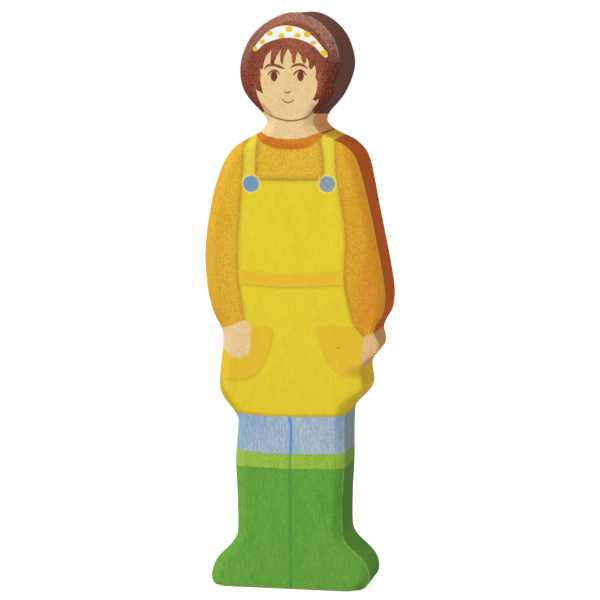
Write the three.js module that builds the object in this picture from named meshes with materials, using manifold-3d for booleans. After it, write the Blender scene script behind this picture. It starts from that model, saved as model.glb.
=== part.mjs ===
// A flat wooden play figure: a board sawn to the outline of a standing person, with sanded edges,
// and thin coats of paint laid on it one over another.
// Millimetres, +Z up, front towards -Y, sole on z = 0 and the origin under the middle of the width.

import * as THREE from 'three';
import { mergeVertices } from 'three/addons/utils/BufferGeometryUtils.js';
import Module from 'manifold-3d';

const wasm = await Module();
wasm.setup();

// Board
const boardThickness = 17.0;
const edgeWidth = 1.9;          // sanded edge, measured across the face
const edgeDepth = 1.3;          // sanded edge, measured into the thickness
const edgeRounding = 1.35;      // 1 is a flat chamfer, more is rounder towards the face
const soleEdgeWidth = 0.4;      // the sole's edge is only eased
const edgeRunout = 0.35;        // how fast the sanded edge may widen along the outline
const edgeRadiusShare = 0.7;    // widest sanded edge on a corner, as a share of the corner's radius

// Paint
const coatThickness = 0.15;
const coatGap = 0.05;           // clearance under every coat
const soleMargin = 0.3;         // bare wood between the sole and the boots

// Heights of the bands, stacked from the sole up the middle of the front
const bootHeight = 27.3;
const bootCuffHeight = 3.3;
const jeansHeight = 8.3;
const skirtHeight = 28.8;
const waistbandHeight = 2.7;
const bibHeight = 20.6;
const chestHeight = 7.0;
const collarHeight = 2.2;
const collarEndRise = 1.2;      // ends of the collar at the straps, above its middle
const neckHeight = 4.0;
const headHeight = 24.05;

// Reach of the outline from the centre line, to the figure's two sides in the front view
const footLeft = 18.05;
const footRight = 17.4;
const legLeft = 12.2;
const legRight = 11.3;
const skirtLeft = 16.5;
const skirtRight = 15.65;
const wristLeft = 15.75;
const handRight = 18.2;
const sleeveLeft = 19.95;
const sleeveRight = 20.2;
const shoulderLeft = 13.6;
const shoulderRight = 13.0;
const neckLeft = 6.15;
const neckRight = 4.45;
const headLeft = 12.3;
const headRight = 10.6;
const crownOffset = 0.9;        // the highest point, right of the centre line
const ankleHeight = 12.4;

// The right wall leans back at the shoulder, the neck and the head: its front corner lies inside its back one
const headLean = 1.1;
const leanRise = 4.8;           // start of the head's lean, above the chin
const leanRun = 4.0;            // height over which it grows
const leanReach = 3.5;          // it fades out over the crown, this far to each side of the centre line
const shoulderLean = 1.05;      // grows up to the chin and fades out where the head's lean starts
const shoulderLeanDrop = 16;    // start of the shoulder's lean, below the collar

// Face
const faceOffset = -1.6;        // middle of the face from the centre line
const hairRise = 1.5;           // lower edge of the hair above the chin
const eyeSpacing = 5.9;
const eyeRise = 9.85;           // above the chin
const pupilHalfWidth = 0.72;
const pupilHalfHeight = 1.15;
const lidHalfWidth = 1.4;
const lidArch = 1.25;
const browHalfWidth = 2.0;
const browRise = 1.65;          // ends of the brow above the pupil's centre
const browArch = 0.8;
const noseRise = 6.45;
const noseHalfWidth = 0.75;
const noseSag = 0.4;
const mouthRise = 4.8;
const mouthHalfWidth = 1.36;
const mouthSag = 0.85;
const browStroke = 0.5;
const lidStroke = 0.3;
const mouthStroke = 0.3;
const chinStroke = 0.35;

// Headband: a crescent between two arcs, its ends and the tops of the arcs seen from the middle of the face
const bandEndLeft = [-7.6, 15.3];
const bandEndRight = [8.6, 14.0];
const bandTop = 20.75;
const bandWidth = 2.6;
const dotRadius = 0.78;

// Clothes
const strapWidth = 2.8;
const buttonRadius = 1.8;
const buttonDrop = 0.6;         // button centre below the top of the bib
const buttonLeft = -9.65;
const buttonRight = 7.4;
const jeansSeamWidth = 0.6;
const bootSeamWidth = 0.4;
const handLeftTop = 7.6;        // top of each hand below the waistband
const handRightTop = 10.6;
const cuffOverlap = 1;

// Levels
const sole = 0;
const bootTop = sole + bootHeight;
const bootCuffTop = bootTop + bootCuffHeight;
const hem = bootCuffTop + jeansHeight;
const waist = hem + skirtHeight;
const bibBottom = waist + waistbandHeight;
const bibTop = bibBottom + bibHeight;
const collarBottom = bibTop + chestHeight;
const collarTop = collarBottom + collarHeight;
const collarEnd = collarTop + collarEndRise;
const chin = collarTop + neckHeight;
const crown = chin + headHeight;
const hairBottom = chin + hairRise;

// Facets
const spanSteps = 2;            // between two neighbouring points of the outline
const edgeSteps = 3;            // across a sanded edge
const curveSteps = 5;           // on each curve of a painted shape
const strokeSteps = 8;          // along a brush stroke
const bandSteps = 14;           // along each edge of the headband

const wide = sleeveLeft + sleeveRight;
const deep = boardThickness;
const frontArris = -boardThickness / 2 + edgeDepth;

// One stretch of the outline: each point is [out from a reach, up from a level]
function stretch(side, reach, level, points) {
  return points.map(([out, up]) => new THREE.Vector3(side * (reach + out), level + up, 0));
}

function outlineControlPoints() {
  const right = [
    ...stretch(1, footRight, sole, [
      [-5.5, 0], [-2.3, 0.35], [-0.5, 1.5], [0, 3.4], [-0.8, 6], [-2.7, 8.1], [-5, 10.2],
    ]),
    ...stretch(1, legRight, sole, [[0, ankleHeight]]),
    ...stretch(1, legRight, bootTop, [[0.15, 1.5]]),
    ...stretch(1, legRight, hem, [[0.1, -1.2]]),
    ...stretch(1, skirtRight, hem, [[-3.9, 1.3], [-2.3, 3.1], [-0.5, 5.2], [0, 7.1], [-0.45, 9.7]]),
    ...stretch(1, handRight, hem, [[-2.95, 11.4], [-1.9, 13.1], [-0.15, 15.3], [-0.05, 16.8], [-0.5, 19]]),
    ...stretch(1, sleeveRight, waist, [[-1.7, -7.7], [-0.5, -5.7], [0, -2], [-0.5, 2.3], [-2.1, 10.3]]),
    ...stretch(1, shoulderRight, collarBottom, [[3.4, -12], [2.2, -6], [1.15, -2], [0, 0], [-2.3, 2]]),
    ...stretch(1, neckRight, chin, [[2, -2.2], [0, -0.2], [0.45, 1.8]]),
    ...stretch(1, headRight, chin, [[-4.05, 3.8], [-2.45, 5.8], [-0.6, 9.8], [0, 13.3]]),
    ...stretch(1, headRight, crown, [[-1.1, -6.45], [-2.2, -4.45], [-4, -2.45], [-7.1, -0.5]]),
  ];
  const left = [
    ...stretch(-1, footLeft, sole, [[-2.3, 0], [-0.5, 0.9], [0, 2.6], [-1.15, 6], [-2.85, 8], [-4.75, 10]]),
    ...stretch(-1, legLeft, sole, [[0, ankleHeight]]),
    ...stretch(-1, legLeft, bootTop, [[0.5, 1.5]]),
    ...stretch(-1, legLeft, hem, [[0.05, -2.4]]),
    ...stretch(-1, skirtLeft, hem, [[-4.2, -0.8], [-3.1, 1.1], [-1.4, 3.1], [-0.2, 5.1], [0, 7.1]]),
    ...stretch(-1, wristLeft, hem, [[0.5, 11.1], [0, 16], [0.35, 19.1]]),
    ...stretch(-1, sleeveLeft, waist, [[-2.8, -7.7], [-1.85, -5.7], [-0.75, -1.7], [0, 5.8], [-0.2, 10.3]]),
    ...stretch(-1, shoulderLeft, collarBottom, [[5, -12], [3.4, -6], [1.6, -2], [0, 0], [-2.9, 2]]),
    ...stretch(-1, neckLeft, chin, [[1.05, -2.2], [0, -0.2], [1.15, 1.8]]),
    ...stretch(-1, headLeft, chin, [[-3.05, 3.8], [-1.4, 5.8], [-0.45, 7.8], [0, 10.6], [-0.35, 13.8]]),
    ...stretch(-1, headLeft, crown, [[-1.95, -6.45], [-3.55, -4.45], [-6.2, -2.4], [-10.3, -0.5]]),
  ];
  return [...right, new THREE.Vector3(crownOffset, crown, 0), ...left.reverse()];
}

// The sawn outline, anticlockwise from the right corner of the sole to the left one
function sawnOutline() {
  const control = outlineControlPoints();
  const curve = new THREE.CatmullRomCurve3(control, false, 'centripetal');
  const count = (control.length - 1) * spanSteps;
  return curve.getPoints(count).map((p) => new THREE.Vector2(p.x, p.y));
}

// Outward direction at each point, stretched so that both neighbouring walls move out alike
function outwardNormals(outline) {
  return outline.map((point, i) => {
    const before = outline.at(i - 1);
    const after = outline[(i + 1) % outline.length];
    const a = point.clone().sub(before).normalize();
    const b = after.clone().sub(point).normalize();
    const normal = new THREE.Vector2(a.y + b.y, -a.x - b.x).normalize();
    return normal.divideScalar(Math.max(0.6, normal.x * a.y - normal.y * a.x));
  });
}

// Width of the sanded edge at each point: narrower round tight corners, and run out towards the sole
function sandedWidths(outline) {
  const last = outline.length - 1;
  const widths = outline.map((point, i) => {
    if (i === 0 || i === last) return soleEdgeWidth;
    const a = point.clone().sub(outline[i - 1]);
    const b = outline[i + 1].clone().sub(point);
    const turn = a.cross(b);
    if (turn <= 0) return edgeWidth;
    const radius = a.length() * b.length() * a.clone().add(b).length() / (2 * turn);
    return Math.min(edgeWidth, edgeRadiusShare * radius);
  });
  const limit = (i, from) => {
    const run = edgeRunout * outline[i].distanceTo(outline[from]);
    widths[i] = Math.min(widths[i], widths[from] + run);
  };
  for (let i = 1; i <= last; i++) limit(i, i - 1);
  for (let i = last - 1; i >= 0; i--) limit(i, i + 1);
  return widths;
}

function wallLeans(outline) {
  const { smoothstep } = THREE.MathUtils;
  const start = chin + leanRise;
  return outline.map((point) => {
    const up = smoothstep(point.y, start, start + leanRun);
    const across = smoothstep(point.x, -leanReach, leanReach);
    const rise = smoothstep(point.y, collarBottom - shoulderLeanDrop, chin);
    const fade = smoothstep(point.y, collarEnd, start);
    return across * (headLean * up + shoulderLean * rise * (1 - fade));
  });
}

const outline = sawnOutline();
const normals = outwardNormals(outline);
const widths = sandedWidths(outline);
const leans = wallLeans(outline);

// The board as a loft of rings from the front face over the sanded edge and the side to the back face,
// with every surface moved out by grow
function boardLoft(grow) {
  const arc = Array.from({ length: edgeSteps + 1 }, (_, k) => {
    const across = k / edgeSteps;
    const slope = Math.atan(edgeDepth / edgeWidth * edgeRounding * across ** (edgeRounding - 1));
    const atArris = k === edgeSteps;
    return {
      inset: 1 - across,
      depth: across ** edgeRounding,
      out: atArris ? 1 : Math.sin(slope),
      forward: atArris ? (1 - Math.sin(slope)) / Math.cos(slope) : Math.cos(slope),
    };
  });
  const rings = [
    ...arc.map((ring) => ({ ...ring, face: -1 })),
    ...arc.map((ring) => ({ ...ring, face: 1 })).reverse(),
  ];
  const count = outline.length;
  const positions = [];
  for (const ring of rings) {
    outline.forEach((point, i) => {
      const lean = ring.face < 0 ? leans[i] : 0;
      const shift = grow * ring.out - widths[i] * ring.inset - lean;
      const depth = edgeDepth * widths[i] / edgeWidth * ring.depth;
      const half = boardThickness / 2 - depth + grow * ring.forward;
      positions.push(point.x + normals[i].x * shift, ring.face * half, point.y + normals[i].y * shift);
    });
  }
  const index = [];
  for (let r = 0; r < rings.length - 1; r++) {
    for (let i = 0; i < count; i++) {
      const a = r * count + i;
      const b = r * count + (i + 1) % count;
      index.push(a, a + count, b, b, a + count, b + count);
    }
  }
  const cap = (start) => {
    const at = (i) => new THREE.Vector2(positions[3 * (start + i)], positions[3 * (start + i) + 2]);
    return THREE.ShapeUtils.triangulateShape(outline.map((_, i) => at(i)), []);
  };
  const back = (rings.length - 1) * count;
  for (const [a, b, c] of cap(0)) index.push(a, b, c);
  for (const [a, b, c] of cap(back)) index.push(back + a, back + c, back + b);
  const geometry = new THREE.BufferGeometry();
  geometry.setAttribute('position', new THREE.Float32BufferAttribute(positions, 3));
  geometry.setIndex(index);
  return geometry;
}

function solidFrom(geometry) {
  geometry.deleteAttribute('normal');
  geometry.deleteAttribute('uv');
  const merged = mergeVertices(geometry);
  const vertProperties = new Float32Array(merged.attributes.position.array);
  const triVerts = new Uint32Array(merged.index.array);
  return new wasm.Manifold(new wasm.Mesh({ numProp: 3, vertProperties, triVerts }));
}

// A shape drawn in the front view, cut through the figure from one depth to another
function prism(shape, from, to) {
  const depth = to - from;
  const options = { depth, bevelEnabled: false, curveSegments: curveSteps };
  const geometry = new THREE.ExtrudeGeometry(shape, options);
  geometry.rotateX(Math.PI / 2);
  geometry.translate(0, to, 0);
  return solidFrom(geometry);
}

const through = (shape) => prism(shape, -deep, deep);
const frontHalf = (shape) => prism(shape, -deep, 0);
const backHalf = (shape) => prism(shape, 0, deep);
const frontFace = (shape) => prism(shape, -deep, frontArris);

// One layer of paint over the whole board; layer 0 lies on the wood
function paintLayer(layer) {
  const under = coatGap + layer * (coatGap + coatThickness);
  return solidFrom(boardLoft(under + coatThickness)).subtract(solidFrom(boardLoft(under)));
}

function polygon(points) {
  return new THREE.Shape(points.map(([x, z]) => new THREE.Vector2(x, z)));
}

function band(from, to) {
  return polygon([[-wide, from], [wide, from], [wide, to], [-wide, to]]);
}

function circle(x, z, radius) {
  return new THREE.Shape().absarc(x, z, radius, 0, 2 * Math.PI, false);
}

// A brush stroke along a smooth line, pointed towards both ends
function stroke(points, width, endShare = 0.35) {
  const line = new THREE.SplineCurve(points.map(([x, z]) => new THREE.Vector2(x, z)));
  const sides = [[], []];
  for (let i = 0; i <= strokeSteps; i++) {
    const t = i / strokeSteps;
    const across = line.getTangent(t).rotateAround(new THREE.Vector2(), Math.PI / 2);
    const half = width / 2 * (endShare + (1 - endShare) * Math.sin(Math.PI * t));
    sides[0].push(line.getPoint(t).addScaledVector(across, -half));
    sides[1].push(line.getPoint(t).addScaledVector(across, half));
  }
  return new THREE.Shape([...sides[0], ...sides[1].reverse()]);
}

// Points drawn from the middle of the chin
function onFace(points) {
  return points.map(([x, z]) => [faceOffset + x, chin + z]);
}

// The opening that the hair leaves for the face: fringe, side locks and jaw
function faceOpening() {
  const leftLocks = [
    [-5.1, 1.8], [-6.5, 4.7], [-7.1, 6.8], [-5.4, 5.9], [-6.1, 8.8], [-6.2, 11.4], [-5.75, 11.1],
  ];
  const fringe = [
    [-5.3, 12.6], [-3.7, 15.4], [-3.5, 12], [-1.55, 15.55], [-1.2, 12.45], [0.1, 15.75],
    [1.4, 12.45], [2.2, 15.1], [3.7, 12.6], [4.2, 13.9], [5.1, 11.1], [6, 12.1],
  ];
  const rightLocks = [[6.15, 9.4], [6.6, 8.3], [6.5, 7.1], [5.6, 4.7], [6.9, 4.85], [5.6, 2.7], [5.4, 1.8]];
  const belowJaw = [[5.4, hairRise - 1], [-5.1, hairRise - 1]];
  return polygon(onFace([...leftLocks, ...fringe, ...rightLocks, ...belowJaw]));
}

// Everything above a neckline that dips in the middle
function aboveNeckline(left, right, dip) {
  const shape = new THREE.Shape();
  shape.moveTo(left[0], left[1]);
  shape.quadraticCurveTo((left[0] + right[0]) / 2, 2 * dip - (left[1] + right[1]) / 2, right[0], right[1]);
  shape.lineTo(right[0], crown);
  shape.lineTo(left[0], crown);
  return shape;
}

// Edges of the dress in the front view, each from the cuff up to the shoulder
const strapLeft = buttonLeft - 0.5;
const strapRight = buttonRight + 0.4;
const dressLeftEdge = [
  [-10.9, waist - handLeftTop], [-12.15, waist], [-12.6, bibBottom + 5.8], [-12, bibTop - 5],
  [strapLeft - strapWidth / 2, bibTop], [strapLeft - strapWidth / 2 + 0.4, collarBottom],
  [strapLeft - strapWidth / 2 + 0.8, collarTop + 3],
];
const dressRightEdge = [
  [15.5, waist - handRightTop], [13.4, waist - 7.7], [11.3, waist],
  [11.5, bibBottom + 5.8], [10.4, bibTop - 4.6],
  [strapRight + strapWidth / 2, bibTop], [strapRight + strapWidth / 2, collarTop + 3],
];
const cuffLeft = [[-wide, waist - handLeftTop - 3.7], [-15.7, waist - handLeftTop - 1.9], dressLeftEdge[0]];
const cuffRight = [dressRightEdge[0], [17.5, waist - handRightTop + 0.6], [wide, waist - handRightTop + 2]];

// Each sleeve runs on a little under its hand, which is painted first
function lowered(points) {
  return points.map(([x, z]) => [x, z - cuffOverlap]);
}

function sleeveLeftShape() {
  return polygon([...lowered(cuffLeft), ...dressLeftEdge, [-wide, collarTop + 3]]);
}

function sleeveRightShape() {
  return polygon([...lowered(cuffRight), [wide, collarTop + 3], ...dressRightEdge.slice().reverse()]);
}

function handLeftShape() {
  const top = waist - handLeftTop;
  const fingers = [
    [-wide, top - 5.8], [-15.4, top - 6.8], [-13.9, top - 8.4], [-12.2, top - 8.5],
    [-10.2, top - 7.8], [-9.35, top - 6.9], [-9.7, top - 3.3], [-9.4, top - 1.9],
  ];
  return polygon([...fingers, ...cuffLeft.slice().reverse()]);
}

function handRightShape() {
  const top = waist - handRightTop;
  const innerEdge = [[15.3, top - 3], [15.3, top - 6.6], [16, top - 7.8]];
  return polygon([[wide, top - 7.8], ...cuffRight.slice().reverse(), ...innerEdge]);
}

// The sweater seen between the straps, down to a level
function betweenStraps(level) {
  const half = strapWidth / 2;
  return polygon([
    [strapLeft + half, level], [strapRight - half, level],
    [strapRight - half, collarEnd], [strapLeft + half, collarEnd],
  ]);
}

function pocketLeftShape() {
  const top = waist - handLeftTop - 2;
  return polygon([
    [-9, top], [-4.9, top], [-5, top - 3], [-6.1, top - 6.5], [-8.4, top - 10], [-11.3, top - 11.1],
    [-wide, top - 11.1], [-wide, top - 6], [-9, top - 6],
  ]);
}

function pocketRightShape() {
  const top = waist - handLeftTop - 1.5;
  return polygon([
    [5.9, top], [6.75, top - 4.1], [8.2, top - 7.2], [10.5, top - 9.7], [13.4, top - 10.5],
    [wide, top - 9.7], [wide, top],
  ]);
}

function waistbandShape() {
  const sag = 0.7;
  const shape = new THREE.Shape();
  shape.moveTo(-wide, waist + sag);
  shape.quadraticCurveTo(0, waist - sag, wide, waist + sag);
  shape.lineTo(wide, bibBottom + sag);
  shape.quadraticCurveTo(0, bibBottom - sag, -wide, bibBottom + sag);
  return shape;
}

// Centre and radius of the circle through the headband's two ends and a given height above its middle
function bandArc(top) {
  const [ax, az] = bandEndLeft;
  const [bx, bz] = bandEndRight;
  const half = Math.hypot(bx - ax, bz - az) / 2;
  const sagitta = top - (az + bz) / 2;
  const radius = (half * half + sagitta * sagitta) / (2 * sagitta);
  const tilt = Math.atan2(bz - az, bx - ax);
  const x = (ax + bx) / 2 + Math.sin(tilt) * (radius - sagitta);
  const z = (az + bz) / 2 - Math.cos(tilt) * (radius - sagitta);
  return { x, z, radius, from: Math.atan2(bz - z, bx - x), to: Math.atan2(az - z, ax - x) };
}

// A point on one of the headband's arcs: 0 is its left end and 1 its right end
function onBandArc(arc, along) {
  const angle = arc.to + (arc.from - arc.to) * along;
  return [arc.x + arc.radius * Math.cos(angle), arc.z + arc.radius * Math.sin(angle)];
}

const bandOuter = bandArc(bandTop);
const bandInner = bandArc(bandTop - bandWidth);

function headbandShape() {
  const outer = [];
  const inner = [];
  for (let i = 0; i < bandSteps; i++) {
    outer.push(onBandArc(bandOuter, i / bandSteps));
    inner.push(onBandArc(bandInner, 1 - i / bandSteps));
  }
  return polygon(onFace([...outer, ...inner]));
}

// Nine dots: how far along the headband, and how far across it from the outer edge
function headbandDots() {
  const places = [
    [0.03, 0.5], [0.16, 0.5], [0.28, 0.25], [0.41, 0.7], [0.5, 0.25],
    [0.62, 0.7], [0.73, 0.3], [0.84, 0.65], [0.97, 0.5],
  ];
  return places.map(([along, across]) => {
    const a = onBandArc(bandOuter, along);
    const b = onBandArc(bandInner, along);
    const [[x, z]] = onFace([[a[0] + (b[0] - a[0]) * across, a[1] + (b[1] - a[1]) * across]]);
    return circle(x, z, dotRadius);
  });
}

// The figure
const figure = new THREE.Group();
figure.position.x = (sleeveLeft - sleeveRight) / 2;

function addPiece(name, solid, color, roughness) {
  const { vertProperties, triVerts } = solid.getMesh();
  const geometry = new THREE.BufferGeometry();
  geometry.setAttribute('position', new THREE.BufferAttribute(new Float32Array(vertProperties), 3));
  geometry.setIndex(new THREE.BufferAttribute(new Uint32Array(triVerts), 1));
  geometry.computeVertexNormals();
  const material = new THREE.MeshStandardMaterial({ color, roughness, metalness: 0 });
  const mesh = new THREE.Mesh(geometry, material);
  mesh.name = name;
  figure.add(mesh);
}

const board = solidFrom(boardLoft(0));
addPiece('wood_blank', board, 0xe6c896, 0.75);

// First layer: each coat takes its place on the board, and the next ones take what is left
let unpainted = paintLayer(0);

function lay(name, place, color, roughness = 0.7) {
  addPiece(name, unpainted.intersect(place), color, roughness);
  unpainted = unpainted.subtract(place);
}

lay('boots_paint', through(band(sole + soleMargin, bootTop)), 0x64a53c);
lay('boot_cuff_paint', through(band(bootTop, bootCuffTop)), 0x96be3c);
lay('jeans_paint', through(band(bootCuffTop, hem)), 0xa5bed7);
lay('hair_paint', through(band(hairBottom, crown + wide)).subtract(frontHalf(faceOpening())), 0x8c4b3c);
const neckline = aboveNeckline(
  [-neckLeft - 2.6, collarTop + 3.2], [neckRight + 2.6, collarTop + 3.4], collarTop);
lay('face_and_neck_paint', through(neckline), 0xecd0a0);
const collarLine = aboveNeckline(
  [strapLeft + strapWidth / 2, collarEnd], [strapRight - strapWidth / 2, collarEnd], collarBottom);
lay('collar_paint', through(collarLine), 0xda7d28);
lay('hand_left_paint', through(handLeftShape()), 0xe8c896);
lay('hand_right_paint', through(handRightShape()), 0xe8c896);
lay('sleeve_left_paint', through(sleeveLeftShape()), 0xd7a532);
lay('sleeve_right_paint', through(sleeveRightShape()), 0xd7a532);
lay('chest_paint', frontHalf(betweenStraps(bibTop)), 0xd7a532);
lay('back_paint', backHalf(betweenStraps(bibBottom)), 0xd7a532);
lay('apron_paint', through(band(hem, chin)), 0xe1cf2d);

// Second layer, over the first coats
const secondLayer = paintLayer(1);
const hands = through(handLeftShape()).add(through(handRightShape()));
const sleeves = through(sleeveLeftShape()).add(through(sleeveRightShape()));
const besideDress = hands.add(sleeves);

function layOver(name, place, color, roughness = 0.7) {
  addPiece(name, secondLayer.intersect(place), color, roughness);
}

layOver('waistband_front_paint', frontHalf(waistbandShape()).subtract(besideDress), 0xdebc30);
layOver('waistband_back_paint', backHalf(waistbandShape()).subtract(besideDress), 0xdebc30);
layOver('pocket_left_paint', frontFace(pocketLeftShape()).subtract(besideDress), 0xdebc30);
layOver('pocket_right_paint', frontFace(pocketRightShape()).subtract(besideDress), 0xdebc30);
layOver('button_left_paint', frontFace(circle(buttonLeft, bibTop - buttonDrop, buttonRadius)), 0x6996cd);
layOver('button_right_paint', frontFace(circle(buttonRight, bibTop - buttonDrop, buttonRadius)), 0x6996cd);
layOver('headband_paint', frontFace(headbandShape()), 0xf0f0f0);
const jeansSeam = [[-0.6, hem - 0.1], [-0.2, hem - 2.3], [-0.4, bootCuffTop + 0.1]];
layOver('jeans_seam_paint', frontFace(stroke(jeansSeam, jeansSeamWidth, 0.8)), 0x5f8fd0);
const bootSeam = [[-0.4, bootTop - 0.1], [-0.25, bootTop / 2], [0, sole + soleMargin + 0.3]];
layOver('boot_seam_paint', frontFace(stroke(bootSeam, bootSeamWidth, 0.8)), 0x4f9a3a);

for (const [side, sign] of [['left', -1], ['right', 1]]) {
  const x = faceOffset + sign * eyeSpacing / 2;
  const z = chin + eyeRise;
  const pupil = new THREE.Shape().absellipse(x, z, pupilHalfWidth, pupilHalfHeight, 0, 2 * Math.PI, false, 0);
  const lidTop = z + pupilHalfHeight + lidStroke;
  const lid = [[x - lidHalfWidth, lidTop - lidArch], [x, lidTop], [x + lidHalfWidth, lidTop - lidArch]];
  const browEnd = z + browRise;
  const brow = [[x - browHalfWidth, browEnd], [x, browEnd + browArch], [x + browHalfWidth, browEnd]];
  layOver(`pupil_${side}_paint`, frontFace(pupil), 0x6e3c32);
  layOver(`lid_${side}_paint`, frontFace(stroke(lid, lidStroke)), 0x6e3c32);
  layOver(`brow_${side}_paint`, frontFace(stroke(brow, browStroke)), 0x6e3c32);
}
const nose = onFace([[-noseHalfWidth, noseRise], [0, noseRise - noseSag], [noseHalfWidth, noseRise]]);
layOver('nose_paint', frontFace(stroke(nose, mouthStroke)), 0x9a5a44);
const mouth = onFace([[-mouthHalfWidth, mouthRise], [0, mouthRise - mouthSag], [mouthHalfWidth, mouthRise]]);
layOver('mouth_paint', frontFace(stroke(mouth, mouthStroke)), 0x9a5a44);
const chinLine = onFace([[-5.2, 1.9], [-2.3, 0.5], [0.7, 0], [3.5, 0.6], [5.5, 1.9]]);
layOver('chin_line_paint', frontFace(stroke(chinLine, chinStroke)), 0x9a5a44);

// Third layer: the dots on the headband
const thirdLayer = paintLayer(2);
headbandDots().forEach((dot, i) => {
  addPiece(`headband_dot_${i + 1}_paint`, thirdLayer.intersect(frontFace(dot)), 0xe6c32d, 0.7);
});

export default figure;
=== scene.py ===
import math

import bpy
import numpy as np
from mathutils import Matrix, Vector
from mathutils.geometry import delaunay_2d_cdt


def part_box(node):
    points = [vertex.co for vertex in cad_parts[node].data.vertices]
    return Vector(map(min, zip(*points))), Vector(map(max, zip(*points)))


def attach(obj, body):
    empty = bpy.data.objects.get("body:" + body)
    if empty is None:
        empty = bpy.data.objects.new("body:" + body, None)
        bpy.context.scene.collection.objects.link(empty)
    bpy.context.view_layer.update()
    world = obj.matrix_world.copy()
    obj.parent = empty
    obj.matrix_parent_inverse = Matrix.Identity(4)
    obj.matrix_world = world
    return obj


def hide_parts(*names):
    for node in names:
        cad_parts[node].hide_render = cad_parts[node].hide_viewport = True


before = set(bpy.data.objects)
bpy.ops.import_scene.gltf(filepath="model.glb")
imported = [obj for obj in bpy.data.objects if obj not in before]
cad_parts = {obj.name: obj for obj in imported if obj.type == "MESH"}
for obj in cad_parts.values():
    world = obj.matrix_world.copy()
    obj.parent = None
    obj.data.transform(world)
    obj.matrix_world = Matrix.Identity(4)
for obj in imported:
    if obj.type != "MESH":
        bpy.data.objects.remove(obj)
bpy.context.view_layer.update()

mm = 0.001

# Drawings are in millimetres, seen from the front: x to the right, z up from the sole
middle = -0.125     # centre line of the drawing, from the middle of the overall width
farOut = 40         # well outside the figure
farUp = 140
lineStep = 0.3      # spacing of the points along a painted edge
usualShake = 0.03   # unevenness of a painted edge
steadyShake = 0.02


def smoothLine(points, step=lineStep):
    # centripetal curve through the points, sampled about every step
    p = np.asarray(points, float)
    padded = np.vstack([2 * p[0] - p[1], p, 2 * p[-1] - p[-2]])
    sampled = []
    for i in range(1, len(padded) - 2):
        p0, p1, p2, p3 = padded[i - 1:i + 3]
        t1 = np.linalg.norm(p1 - p0) ** 0.5
        t2 = t1 + np.linalg.norm(p2 - p1) ** 0.5
        t3 = t2 + np.linalg.norm(p3 - p2) ** 0.5
        count = max(1, math.ceil(np.linalg.norm(p2 - p1) / step))
        t = np.linspace(t1, t2, count, endpoint=False)[:, None]
        a1 = (t1 - t) / t1 * p0 + t / t1 * p1
        a2 = (t2 - t) / (t2 - t1) * p1 + (t - t1) / (t2 - t1) * p2
        a3 = (t3 - t) / (t3 - t2) * p2 + (t - t2) / (t3 - t2) * p3
        b1 = (t2 - t) / t2 * a1 + t / t2 * a2
        b2 = (t3 - t) / (t3 - t1) * a2 + (t - t1) / (t3 - t1) * a3
        sampled.append((t2 - t) / (t2 - t1) * b1 + (t - t1) / (t2 - t1) * b2)
    return np.vstack(sampled + [p[-1:]])


def straightLine(points, step=lineStep):
    # the points joined by straight runs, each cut into steps
    p = np.asarray(points, float)
    runs = []
    for a, b in zip(p[:-1], p[1:]):
        count = max(1, math.ceil(np.linalg.norm(b - a) / step))
        runs.append(a + (b - a) * np.linspace(0, 1, count, endpoint=False)[:, None])
    return np.vstack(runs + [p[-1:]])


def drawn(points, seed, ragged=usualShake, smooth=True):
    # a painted edge: moved to the figure's centre line, with a hand's unevenness
    line = smoothLine(points) if smooth else straightLine(points)
    line = line + (middle, 0)
    shake = np.random.default_rng(seed).normal(0, ragged, line.shape)
    shake[[0, -1]] = 0
    return line + shake


def distanceToLine(points, line):
    # distance to an open line, and the place of the nearest point as an index along it
    a, run = line[:-1], np.diff(line, axis=0)
    squared = np.maximum((run ** 2).sum(1), 1e-12)
    distance, place = np.empty(len(points)), np.empty(len(points))
    block = 4000
    for start in range(0, len(points), block):
        p = points[start:start + block]
        t = ((p[:, None, 0] - a[:, 0]) * run[:, 0] + (p[:, None, 1] - a[:, 1]) * run[:, 1]) / squared
        t = np.clip(t, 0, 1)
        gapX = p[:, None, 0] - a[:, 0] - t * run[:, 0]
        gapZ = p[:, None, 1] - a[:, 1] - t * run[:, 1]
        gap = gapX ** 2 + gapZ ** 2
        nearest = gap.argmin(1)
        row = np.arange(len(p))
        distance[start:start + block] = np.sqrt(gap[row, nearest])
        place[start:start + block] = nearest + t[row, nearest]
    return distance, place


def closed(line):
    return np.vstack([line, line[:1]])


def isInside(points, polygon):
    ring = closed(polygon)
    inside = np.zeros(len(points), bool)
    x, z = points[:, 0], points[:, 1]
    for (ax, az), (bx, bz) in zip(ring[:-1], ring[1:]):
        if az == bz:
            continue
        crosses = (az > z) != (bz > z)
        inside ^= crosses & (x < ax + (z - az) / (bz - az) * (bx - ax))
    return inside


def ramp(value, start, end):
    share = np.clip((value - start) / (end - start), 0, 1)
    return share * share * (3 - 2 * share)


def spot(x, z, centreX, centreZ, radiusX, radiusZ):
    return np.exp(-((x - centreX) / radiusX) ** 2 - ((z - centreZ) / radiusZ) ** 2)


# Sanded board under the paint: its outline and thickness come from the wood blank in model.glb
sandedEdge = {
    "width": 1.9,           # across the face
    "depth": 1.3,           # into the thickness
    "rounding": 1.35,       # 1 is a flat chamfer
    "atSole": 0.4,
    "runout": 0.35,         # how fast it widens along the outline
    "cornerShare": 0.7,     # widest on a corner, as a share of the corner's radius
    "cornerReach": 1.2,     # how far apart a corner's radius is measured
    "sparing": (45.5, 59.0),    # heights on the right between which it is only eased
    "eased": 0.45,
}
# The right hand's front corner stands out past the board's
handBulge = {"height": 54.7, "reach": 2.3, "out": 0.95}
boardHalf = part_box("wood_blank")[1][1] / mm
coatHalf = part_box("boots_paint")[1][1] / mm
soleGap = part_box("boots_paint")[0][2] / mm
skin = coatHalf - boardHalf

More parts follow.
